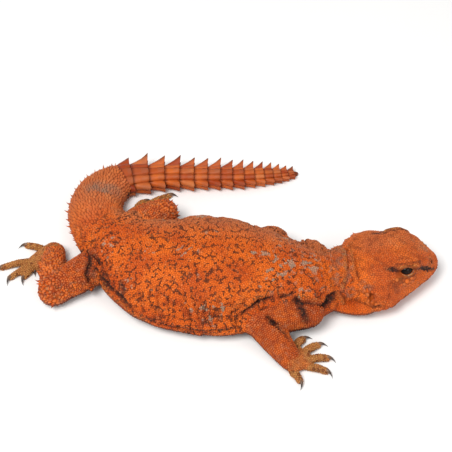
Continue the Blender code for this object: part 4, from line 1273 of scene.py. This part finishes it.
def ringPlates(finish):
    # Tail whorls: long plates whose rear edges rise to points, largest along both sides.
    rows = []
    turns = np.radians(tail["plateTurns"])
    halves = np.gradient(turns) * 0.53
    for k in range(tail["baseWhorls"] - 1, len(whorlEdges)):
        long = whorlLengths[k]
        for turn, half in zip(turns, halves):
            # the far upper row stands highest and the near side row is short
            upper = bell(math.degrees(turn) - 151, 14) + 0.6 * bell(math.degrees(turn) - 14, 14)
            lateral = min(1.0, upper + 0.7 * abs(math.cos(turn)) ** 6)
            tall = long * (tail["spineLow"] + tail["spineHigh"] * lateral) * rng.uniform(0.88, 1.12)
            over, rise = long * (0.05 + 0.04 * lateral), tall * 0.3 * lateral
            wide, slope = half * (1 + 0.1 * lateral), 2.2 - 0.7 * lateral
            rows.append((whorlEdges[k] + 0.1, turn, long, wide, tall, over, rise, slope))
    s, angle, length, half, height, over, rise, slope = np.array(rows).T
    us = np.array([0.0, 0.3, 0.62, 0.86, 1.0])
    vs = np.array([-1.0, -0.55, 0.0, 0.55, 1.0])

    def foot(u, v, narrow):
        return bodySurface(s - length * (1 - u), angle + half * v * narrow)

    points = []
    for u in us:
        for v in vs:
            base, outward = foot(u, v, 1 - 0.12 * u)
            keel = (1 - abs(v) ** 1.4) * (u * (0.15 + 0.07 * length) + height * u**slope)
            lift = 0.14 + 0.16 * (1 - v**4) + keel if u > 0 else 0 * length - 0.25
            points.append(base + outward * lift[:, None])
    base, outward = bodySurface(s, angle)
    tip = len(points)
    lifted = base + outward * (height * 1.12)[:, None] + up * rise[:, None]
    points.append(lifted + tailward(s) * over[:, None])
    # the underside, sunk in the tail: under the rear edge, then down both sides
    rim, low = tip + 1, tip + 6
    sunk = [(0.98, v, 0.88) for v in vs] + [(u, v, 1 - 0.12 * u) for u in us[1:4] for v in (-1.0, 1.0)]
    for place in sunk:
        base, outward = foot(*place)
        points.append(base - outward * 0.35)
    left = [0, low, low + 2, low + 4, rim]
    right = [4, low + 1, low + 3, low + 5, rim + 4]
    faces = [(20, rim, tip), (24, tip, rim + 4), (0, 4, right[1]), (0, right[1], left[1])]
    for k in range(4):
        p, q = k * 5, (k + 1) * 5
        for c in range(4):
            faces += [(p + c, q + c, q + c + 1), (p + c, q + c + 1, p + c + 1)]
        faces += [(20 + k, tip, 21 + k), (rim + k, rim + k + 1, tip)]
        faces += [(p, left[k + 1], q), (p + 4, q + 4, right[k + 1])]
        if k > 0:
            faces += [(p, left[k], left[k + 1]), (p + 4, right[k + 1], right[k])]
        if k in (1, 2):
            faces += [(left[k], right[k], right[k + 1]), (left[k], right[k + 1], left[k + 1])]
    faces += [(left[3], right[3], rim + 4), (left[3], rim + 4, rim + 2), (left[3], rim + 2, rim)]
    faces += [(rim, rim + 2, rim + 1), (rim + 2, rim + 4, rim + 3)]
    points = np.stack(points, axis=1)
    points[..., 2] = np.maximum(points[..., 2], 0.05)
    weights = weightsAt(points.mean(axis=1), np.full(len(s), labels.index("body")))
    root = 0.01 + 0.98 * np.stack([(s - s.min()) / np.ptp(s), (angle + 1) / 6], axis=1)
    patch, climb = np.zeros((points.shape[1], 2)), np.zeros(points.shape[1])
    patch[:tip] = np.stack([np.repeat(us, 5) * 2 - 1, np.tile(vs, 5)], axis=1) * patchRadius
    climb[:tip] = np.minimum(np.repeat(us, 5) * 1.6, 0.85) * (1 - 0.3 * np.tile(np.abs(vs), 5) ** 4)
    climb[tip] = 1.0
    tint = rng.random((len(s), 2))
    return joinedMesh("tailRings", points, np.array(faces), root, patch, climb, weights, tint, finish)


def thorns(name, rows, finish):
    # Cones with a swollen foot, each leaning over: spines of legs, nape, ears, hips and tail base.
    sides = 8
    at, normal, lean, radius, height = (np.array(column, float) for column in zip(*rows))
    n, normal = len(at), unit(normal)
    a = unit(lean - normal * (lean * normal).sum(axis=1, keepdims=True))
    b = np.cross(normal, a)
    circle = circleOf(sides)
    at, a, b, normal = (v[:, None] for v in (at, a, b, normal))
    radius, height = radius[:, None, None], height[:, None, None]
    rings = []
    for share, wide, over in ((-0.25, 1.0, 0.0), (0.12, 0.9, 0.02), (0.45, 0.5, 0.12), (0.78, 0.22, 0.3)):
        middle = at + normal * height * share + a * height * over
        rings.append(middle + (a * circle[:, :1] + b * circle[:, 1:]) * radius * wide)
    points = np.concatenate([*rings, at + normal * height + a * height * 0.5], axis=1)
    side = math.ceil(math.sqrt(n))
    root = (np.stack([np.arange(n) % side, np.arange(n) // side], axis=1) + 0.5) / side
    patch = np.concatenate([np.tile(circle, (4, 1)), [[0, 0]]]) * patchRadius
    rise = np.concatenate([np.repeat([0.0, 0.35, 0.7, 0.9], sides), [1.0]])
    weights = weightsAt(at[:, 0], faceLabel[skinFaces(at[:, 0])])
    tint = rng.random((n, 2))
    return joinedMesh(name, points, coneFaces(4, sides), root, patch, rise, weights, tint, finish)


def addNode(tree, kind, settings, out, **values):
    # A node with its settings, and values or links for its sockets, by name or by number after an i.
    made = tree.nodes.new(kind)
    for name, value in settings.items():
        setattr(made, name, value)
    for slot, value in values.items():
        target = made.inputs[int(slot[1:]) if slot[1:].isdigit() else slot.replace("_", " ")]
        if isinstance(value, Sock):
            tree.links.new(value.socket, target)
        else:
            target.default_value = value
    return Sock(tree, made.outputs[out])


class Sock:
    # A wrapped socket, so that shader maths reads as plain sums.
    def __init__(self, tree, socket):
        self.tree = tree
        self.socket = socket

    def math(self, operation, other):
        return addNode(self.tree, "ShaderNodeMath", {"operation": operation}, 0, i0=self, i1=other)

    def __add__(self, other):
        return self.math("ADD", other)

    def __mul__(self, other):
        return self.math("MULTIPLY", other)

    def __rsub__(self, other):
        return self * -1.0 + other

    __radd__ = __add__
    __rmul__ = __mul__

    def atMost(self, other):
        return self.math("MINIMUM", other)

    def ramp(self, low, high):
        # 0 at low and 1 at high, eased; low may be the larger.
        ends = {"From_Min": low, "From_Max": high}
        if low > high:
            ends = {"From_Min": high, "From_Max": low, "To_Min": 1.0, "To_Max": 0.0}
        eased = {"interpolation_type": "SMOOTHSTEP"}
        return addNode(self.tree, "ShaderNodeMapRange", eased, 0, Value=self, **ends)


class Finish:
    # A material with one Principled shader, and short ways to add nodes to it.
    def __init__(self, name, **fixed):
        self.material = bpy.data.materials.new(name)
        self.material.use_nodes = True
        self.tree = self.material.node_tree
        self.shader = next(node for node in self.tree.nodes if node.type == "BSDF_PRINCIPLED")
        for slot, value in fixed.items():
            self.shader.inputs[slot.replace("_", " ")].default_value = value

    def node(self, kind, settings=None, out=0, **values):
        return addNode(self.tree, kind, settings or {}, out, **values)

    def place(self):
        return self.node("ShaderNodeTexCoord", out=3)

    def weights(self, layer):
        # The four numbers of a colour layer.
        colour = self.node("ShaderNodeVertexColor", {"layer_name": layer})
        split = self.node("ShaderNodeSeparateColor", Color=colour).socket.node
        three = [Sock(self.tree, split.outputs[k]) for k in range(3)]
        return *three, Sock(self.tree, colour.socket.node.outputs["Alpha"])

    def blend(self, share, *ends):
        first, second = (end if isinstance(end, Sock) else (*end, 1.0) for end in ends)
        return self.node("ShaderNodeMix", {"data_type": "RGBA"}, 2, i0=share, i6=first, i7=second)

    def noise(self, place, size, detail=2.0):
        # Noise whose features are about size millimetres across.
        return self.node("ShaderNodeTexNoise", Vector=place, Scale=1 / (size * milli), Detail=detail)

    def cells(self, place, size, **settings):
        return self.node("ShaderNodeTexVoronoi", settings, Vector=place, Scale=1 / (size * milli))

    def feed(self, slot, value):
        self.tree.links.new(value.socket, self.shader.inputs[slot])

    def bump(self, height, strength, distance):
        made = self.node("ShaderNodeBump", Height=height, Strength=strength, Distance=distance * milli)
        self.feed("Normal", made)


colours = {
    "orange": (0.56, 0.085, 0.006),
    "bright": (0.76, 0.150, 0.010),
    "deep": (0.30, 0.034, 0.004),
    # far: painted light, the paler, greyer tone of the side turned away
    "far": (0.45, 0.148, 0.056),
    "brown": (0.055, 0.016, 0.007),
    "grey": (0.20, 0.135, 0.095),
    "pale": (0.62, 0.26, 0.10),
    "fleck": (0.36, 0.29, 0.21),
    "tan": (0.47, 0.225, 0.062),
    # the painted shade of the gaps between scales and of each scale's foot
    "shadedSeam": (0.10, 0.015, 0.004),
    # dark: the real dark marks, and painted shade in creases, nostrils and undersides
    "dark": (0.022, 0.012, 0.010),
    "pupil": (0.004, 0.003, 0.003),
    "iris": (0.020, 0.010, 0.006),
    "clawRoot": (0.20, 0.10, 0.05),
    "clawTip": (0.020, 0.013, 0.011),
    "clawStreak": (0.11, 0.065, 0.04),
    "lid": (0.50, 0.27, 0.11),
    "lidSpot": (0.10, 0.04, 0.022),
}


def markingsAndPaintedLight(f):
    # The animal's colours, with painted light on the far side and painted shade in creases, nostrils and
    # undersides, the same on the skin and on all that grows on it.
    place = f.place()
    tan, grey, dark, far = f.weights("zones")
    back, fleck, grainy, mottled = f.weights("patterns")
    middle = f.noise(place, 4.5, 3.0)
    small = f.noise(place, 1.3, 2.0)
    colour = f.blend(f.noise(place, 16, 3.0).ramp(0.35, 0.66), colours["orange"], colours["bright"])
    colour = f.blend(middle.ramp(0.48, 0.66) * mottled * 0.75, colour, colours["deep"])
    # painted light on the far side
    colour = f.blend(far * 0.8, colour, colours["far"])
    colour = f.blend(small.ramp(0.58, 0.75) * 0.2, colour, colours["pale"])
    # markings of the back: an uneven net of dark lines, broken into squiggles and rings, with dots between
    warp = f.node("ShaderNodeTexNoise", out=1, Vector=place, Scale=1 / (5 * milli), Detail=1.0)
    warp = f.node("ShaderNodeVectorMath", {"operation": "SCALE"}, i0=warp, Scale=2.6 * milli)
    bent = f.node("ShaderNodeVectorMath", {"operation": "ADD"}, i0=place, i1=warp)
    net = f.cells(bent, 3.7, feature="DISTANCE_TO_EDGE").ramp(0.125, 0.075)
    pieces = f.noise(place, 2.3, 1.0).ramp(0.485, 0.535)
    areas = f.noise(place, 19, 1.0).ramp(0.32, 0.56)
    dotted = f.cells(bent, 2.8).ramp(0.26, 0.18) * f.noise(place, 7, 1.0).ramp(0.33, 0.42)
    marks = (net * pieces * (areas * 0.25 + 0.75) + dotted).atMost(1.0) * back
    colour = f.blend(marks * 0.9, colour, colours["brown"])
    # pale grey flecks
    flecks = (f.noise(place, 2.9, 1.0) + fleck * 0.13).ramp(0.61, 0.68) * fleck.ramp(0.05, 0.3)
    colour = f.blend(flecks * 0.75, colour, colours["fleck"])
    # limbs: paler grains and small dark ones
    colour = f.blend(f.noise(place, 1.3, 1.0).ramp(0.54, 0.68) * grainy * 0.3, colour, colours["pale"])
    colour = f.blend(f.noise(place, 2.6, 2.0).ramp(0.47, 0.62) * grainy * 0.7, colour, colours["deep"])
    # grey patches, tan toes, then the dark weight: real dark stripes and marks, and painted shade in creases,
    # nostrils and undersides
    colour = f.blend(grey * (middle.ramp(0.3, 0.6) * 0.6 + 0.35), colour, colours["grey"])
    toes = f.blend(small.ramp(0.45, 0.7) * 0.35, colours["tan"], colours["brown"])
    toes = f.blend(f.cells(bent, 2.6).ramp(0.42, 0.30) * 0.75, toes, colours["brown"])
    colour = f.blend(tan * 0.9, colour, toes)
    return place, f.blend(dark, colour, colours["dark"]), small, dark


def skinFinish():
    f = Finish("lizardSkin", Roughness=0.62, Specular_IOR_Level=0.15)
    place, colour, small, _ = markingsAndPaintedLight(f)
    # the skin shows only in the gaps between scales, so it is darkened halfway to their painted shade
    f.feed("Base Color", f.blend(0.5, colour, colours["shadedSeam"]))
    f.feed("Roughness", small * 0.2 + 0.55)
    f.bump(f.cells(place, 0.75) * -1.0 + small * 0.4, 0.5, 0.12)
    return f.material


def scaleFinish(name, gloss, tipColour, tipShare, uneven, edge):
    f = Finish(name, Roughness=gloss, Specular_IOR_Level=0.2)
    place, colour, small, dark = markingsAndPaintedLight(f)
    tint, rise, second, _ = f.weights("grain")
    colour = f.blend(tint.ramp(0.5, 0.0) * uneven, colour, colours["deep"])
    colour = f.blend(second.ramp(0.8, 1.0) * 0.25, colour, colours["pale"])
    # painted shade at the foot of each scale, where it meets its neighbours
    colour = f.blend(rise.ramp(edge, 0.0) * 0.8, colour, colours["shadedSeam"])
    colour = f.blend(rise.ramp(0.75, 1.0) * (1 - dark * 0.95) * tipShare, colour, colours[tipColour])
    f.feed("Base Color", colour)
    f.feed("Roughness", small * 0.25 + (gloss - 0.12))
    f.bump(small + f.noise(place, 0.35, 1.0) * 0.5, 0.35, 0.08)
    return f.material


def eyeFinish():
    f = Finish("eyeball", Roughness=0.08, IOR=1.33, Specular_IOR_Level=0.3)
    iris = f.noise(f.place(), 0.9, 3.0).ramp(0.45, 0.7)
    f.feed("Base Color", f.blend(iris, colours["pupil"], colours["iris"]))
    return f.material


def clawFinish():
    f = Finish("claw", Roughness=0.35)
    streak = f.noise(f.place(), 0.5, 2.0)
    colour = f.blend(f.weights("along")[0].ramp(0.1, 0.75), colours["clawRoot"], colours["clawTip"])
    f.feed("Base Color", f.blend(streak.ramp(0.5, 0.7) * 0.4, colour, colours["clawStreak"]))
    f.feed("Roughness", streak * 0.2 + 0.25)
    return f.material


def lidFinish():
    f = Finish("lidRim", Roughness=0.5)
    small = f.noise(f.place(), 0.8, 2.0)
    f.feed("Base Color", f.blend(small.ramp(0.4, 0.62), colours["lid"], colours["lidSpot"]))
    f.bump(small, 0.3, 0.05)
    return f.material


hide = scaleFinish("scale", 0.6, "bright", 0.15, 0.28, 0.4)
limbHide = scaleFinish("limbScale", 0.6, "pale", 0.32, 0.45, 0.6)
horn = scaleFinish("spine", 0.55, "grey", 0.5, 0.4, 0.4)
plateHorn = scaleFinish("tailPlate", 0.5, "grey", 0.6, 0.85, 0.45)
oneSkin.materials.clear()
oneSkin.materials.append(skinFinish())
pieces = [skin]
for piece in sorted(set(sitePiece)):
    pieces.append(buildScales(piece, limbHide if piece.startswith(("arm", "leg")) else hide))
    print(f"{piece}: {(sitePiece == piece).sum()} scales, {len(pieces[-1].data.polygons)} triangles")
pieces.append(ringPlates(plateHorn))
print(f"tail rings: {len(pieces[-1].data.polygons)} triangles")


# Each spine below is its place, normal, lean, radius and height.
def legSpines():
    # Pointed tubercles over each knee and shank, longest on the outer side.
    arcs = {
        "upper": (np.linspace(0.72, 1.35, 7), range(-60, 240, 30)),
        "lower": (np.linspace(-0.3, 0.75, 9), range(0, 360, 30)),
    }
    for name in ("legRight", "legLeft"):
        outward = unit(jointAt(name, 1) - jointAt(name, 0))
        for key, (shares, arc) in arcs.items():
            row = limbParts[name]["rows"][key]
            for j, share in enumerate(shares):
                inside = min(max(share, 0), 1)
                place, heading, side, lift, size = (v[0] for v in limbFrame(row, [inside]))
                place = place + heading * (share - inside) * row["length"]
                for degrees in arc:
                    turn = math.radians(degrees + 15 * (j % 2) + rng.uniform(-7, 7))
                    p = place + side * math.cos(turn) * size[0] + lift * math.sin(turn) * size[1]
                    spot, n, gone, face = onSkin(p)
                    if gone > 3 or labels[faceLabel[face]] != f"{name}.{key}" or n[2] < -0.3:
                        continue
                    outer = max(float(n @ outward), 0) ** 1.5 + 0.35 * max(-float(n[0]), 0)
                    if n[2] > 0.75 and rng.random() < 0.4:
                        continue
                    wide = rng.uniform(0.6, 0.8) + 0.3 * outer
                    yield spot, n, heading + up * 0.5, wide, rng.uniform(0.8, 1.2) + 1.5 * outer


# Distance along the spine, angle round it and height of each spine of the tufts behind the head
napeTuft = (
    (4.2, 52, 2.6), (5.0, 46, 2.2), (3.6, 60, 1.7), (6.0, 55, 1.8), (5.6, 40, 1.6),
    (7.4, 50, 1.4), (4.6, 128, 2.0), (5.6, 136, 1.8), (6.6, 142, 1.4),
)


def napeSpines():
    for s, degrees, tall in napeTuft:
        spot, n, _, _ = onSkin(bodyPoint(s, math.radians(degrees)))
        yield spot, n, tailward(s), 0.45, tall
    for side in (-1, 1):
        for k in range(7):
            spot, n, _, _ = onSkin(fromHead((6.0 + 0.5 * (k % 2), side * 21.0, 12.6 + k * 1.2)))
            yield spot, n, headTurn @ (-1.0, 0, 0), 0.75, 1.35 + 0.4 * math.sin(k)


def hipSpines():
    for side in (-1, 1):
        for s in np.arange(along("hips") - 14, along("vent") + 6, 2.6):
            for degrees in (10, 24, 40):
                spot, n, gone, face = onSkin(bodyPoint(s, math.radians(90 - side * (90 - degrees))))
                if gone <= 2.2 and labels[faceLabel[face]] == "body":
                    yield spot, n, tailward(s), rng.uniform(0.45, 0.7), rng.uniform(0.5, 1.2)


# Angle from the outer edge, spacing, radius and height of each row of spines of the tail's base
tailRows = (
    (0, 3.5, 0.95, 2.9), (-16, 3.5, 0.8, 1.8), (-32, 3.3, 0.65, 1.2),
    (14, 3.9, 0.85, 2.0), (-178, 3.6, 0.7, 1.4), (-164, 3.4, 0.6, 1.0),
    (-60, 3.2, 0.5, 0.8), (-85, 3.2, 0.5, 0.8), (-110, 3.2, 0.5, 0.8),
)


def tailSideSpines():
    # Stout spines along the outer edge of the tail's wide base, lower rows beside them, and the inner side.
    last = whorlEdges[tail["baseWhorls"] - 2] + 1
    for turned, step, wide, tall in tailRows:
        first = along("vent") - 2 if turned > -40 else along("tailRoot") + 6
        for s in np.arange(first + (abs(turned) % 3), last, step):
            outer = np.interp(s, [145, 165, 182, 196], [181, 176, 160, 150])
            p, outward = bodySurface(s, math.radians(outer + turned + rng.uniform(-3, 3)))
            at = onSkin(p)[0] - outward * 0.3
            radius = wide * rng.uniform(0.85, 1.15)
            height = tall * rng.uniform(0.75, 1.15) * np.interp(s, [140, 155, 200], [0.6, 1.0, 1.05])
            yield at, outward + up * 0.15, tailward(s), radius, height


spineSets = [list(placed()) for placed in (legSpines, napeSpines, hipSpines, tailSideSpines)]
for name, rows in zip(("legSpines", "napeSpines", "hipSpines", "tailSideSpines"), spineSets):
    pieces.append(thorns(name, rows, horn))
    print(f"{name}: {len(rows)}")


def buildClaws():
    points, faces = [], []
    sides, steps = claws["sides"], claws["steps"]
    turn = fullTurn * np.arange(sides)[:, None] / sides
    shares = np.arange(steps) / (steps - 1)
    for part in limbParts.values():
        for root, heading in part["claws"]:
            side = unit(np.cross(heading, up))
            faces += tubeFaces(steps, sides, len(points) * sides)
            for share in shares:
                arch = 1.15 * math.sin(math.pi * min(share * 0.9 + 0.12, 1)) - 0.75 * share
                reach = share * (claws["length"] + claws["sunk"]) - claws["sunk"] - 0.9 * share**3
                at = root + heading * reach + side * part["hook"] * 2.7 * share**2.2 + up * arch
                size = claws["radius"] * (1 - share**1.9 * 0.93)
                ring = at + side * np.cos(turn) * size * 0.8 + up * np.sin(turn) * size
                ring[:, 2] = np.maximum(ring[:, 2], claws["clear"])
                points.append(ring)
    made = makeObject("claws", np.concatenate(points), faces, clawFinish())
    shade = np.tile(np.repeat(shares, sides), len(points) // steps)
    giveColours(made.data, along=np.stack([shade, shade, shade, shade * 0 + 1], axis=1))
    return made


def buildEye(name, side):
    centre, outward, forward, lift = eyeFrame(side)
    a = np.linspace(0.02, math.pi - 0.02, 40)[:, None, None]
    b = np.linspace(0, fullTurn, 56, endpoint=False)[:, None]
    # the cornea bulges a little at the front
    radius = eye["radius"] * (1 + 0.05 * bell(a, 0.5))
    ball = centre + (outward * np.cos(a) + (forward * np.cos(b) + lift * np.sin(b)) * np.sin(a)) * radius
    return makeObject(name, fromHead(ball.reshape(-1, 3)), tubeFaces(40, 56), eyeFinish())


def buildLidRim(name, side):
    # The pale beaded edge of both lids.
    centre, outward, forward, lift = eyeFrame(side)
    beads, sides = 84, 8
    turn = fullTurn * np.arange(beads)[:, None] / beads
    c, d = np.cos(turn), np.sin(turn)
    stretch = (np.abs(c) ** 1.7 + np.abs(d) ** 1.9) ** (-1 / 1.8) * 1.13 / lidRadius
    a, b = c * stretch * eye["slit"][0], d * stretch * eye["slit"][1]
    direction = forward * a + lift * b + outward * np.sqrt(np.maximum(0.05, 1 - a * a - b * b))
    at = (centre + direction * (eye["radius"] + 0.62))[:, None]
    across = unit(forward * c + lift * d)[:, None]
    size = (0.30 + 0.09 * np.cos(turn * 21))[:, None]
    w = np.linspace(0, fullTurn, sides, endpoint=False)[:, None]
    rings = at + (across * np.cos(w) * 0.85 + outward * np.sin(w)) * size
    return makeObject(name, fromHead(rings.reshape(-1, 3)), tubeFaces(beads, sides, loop=True), lidFinish())


pieces.append(buildClaws())
eyes = [buildEye("eyeballRight", -1), buildEye("eyeballLeft", 1)]
rims = [buildLidRim("lidRimRight", -1), buildLidRim("lidRimLeft", 1)]
print("eyes, lids and claws are in")

fleshNodes = [
    "head", "neck", "torso", "tail_base", "tail_middle", "tail_end",
    "arm_right", "forearm_right", "hand_right", "arm_left", "forearm_left", "hand_left",
    "thigh_right", "shank_right", "foot_right", "thigh_left", "shank_left", "foot_left",
]
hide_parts(*fleshNodes)
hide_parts("eye_right")
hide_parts("eye_left")
for made in pieces + eyes + rims:
    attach(made, "root")


# Floor, light and camera
def buildFloor():
    half, low = 2500, -0.02
    corners = np.array([(-half, -half, low), (half, -half, low), (half, half, low), (-half, half, low)])
    f = Finish("paleFloor", Roughness=0.85)
    f.feed("Base Color", f.blend(f.noise(f.place(), 90, 2.0), (0.90, 0.90, 0.90), (0.93, 0.93, 0.93)))
    floor = makeObject("floor", corners + stanceMiddle, [[0, 1, 2, 3]], f.material, False)


def addLight(name, place, size, power, colour=(1, 1, 1)):
    data = bpy.data.lights.new(name, "AREA")
    data.shape = "DISK"
    data.size = size
    data.energy = power
    data.color = colour
    lamp = bpy.data.objects.new(name, data)
    lamp.location = place
    lamp.rotation_euler = (-Vector(place)).to_track_quat("-Z", "Y").to_euler()
    bpy.context.scene.collection.objects.link(lamp)


buildFloor()
studio = {"sky": 0.52, "key": 11.5, "fill": 3.0}
addLight("key", (-0.35, -0.45, 1.05), 0.55, studio["key"], (1.0, 0.98, 0.95))
addLight("fill", (0.7, -0.7, 0.7), 0.8, studio["fill"])
world = bpy.data.worlds.new("studio")
world.use_nodes = True
world.node_tree.nodes["Background"].inputs["Color"].default_value = (1, 1, 1, 1)
world.node_tree.nodes["Background"].inputs["Strength"].default_value = studio["sky"]
bpy.context.scene.world = world
bpy.context.scene.view_settings.view_transform = "Standard"

elevation = math.radians(view["elevation"])
backward = Vector((0, -math.cos(elevation), math.sin(elevation)))
lens = bpy.data.cameras.new("photoView")
lens.sensor_width = 36
lens.lens = lens.sensor_width * view["pixelsPerMilli"] * view["distance"] / view["frame"]
lens.clip_start = 0.01
camera = bpy.data.objects.new("photoView", lens)
camera.location = Vector(toMetres(view["lookAt"])) + backward * view["distance"] * milli
camera.rotation_euler = backward.to_track_quat("Z", "Y").to_euler()
bpy.context.scene.collection.objects.link(camera)
bpy.context.scene.camera = camera

print(f"faces in all: {sum(len(obj.data.polygons) for obj in pieces + eyes + rims)}")
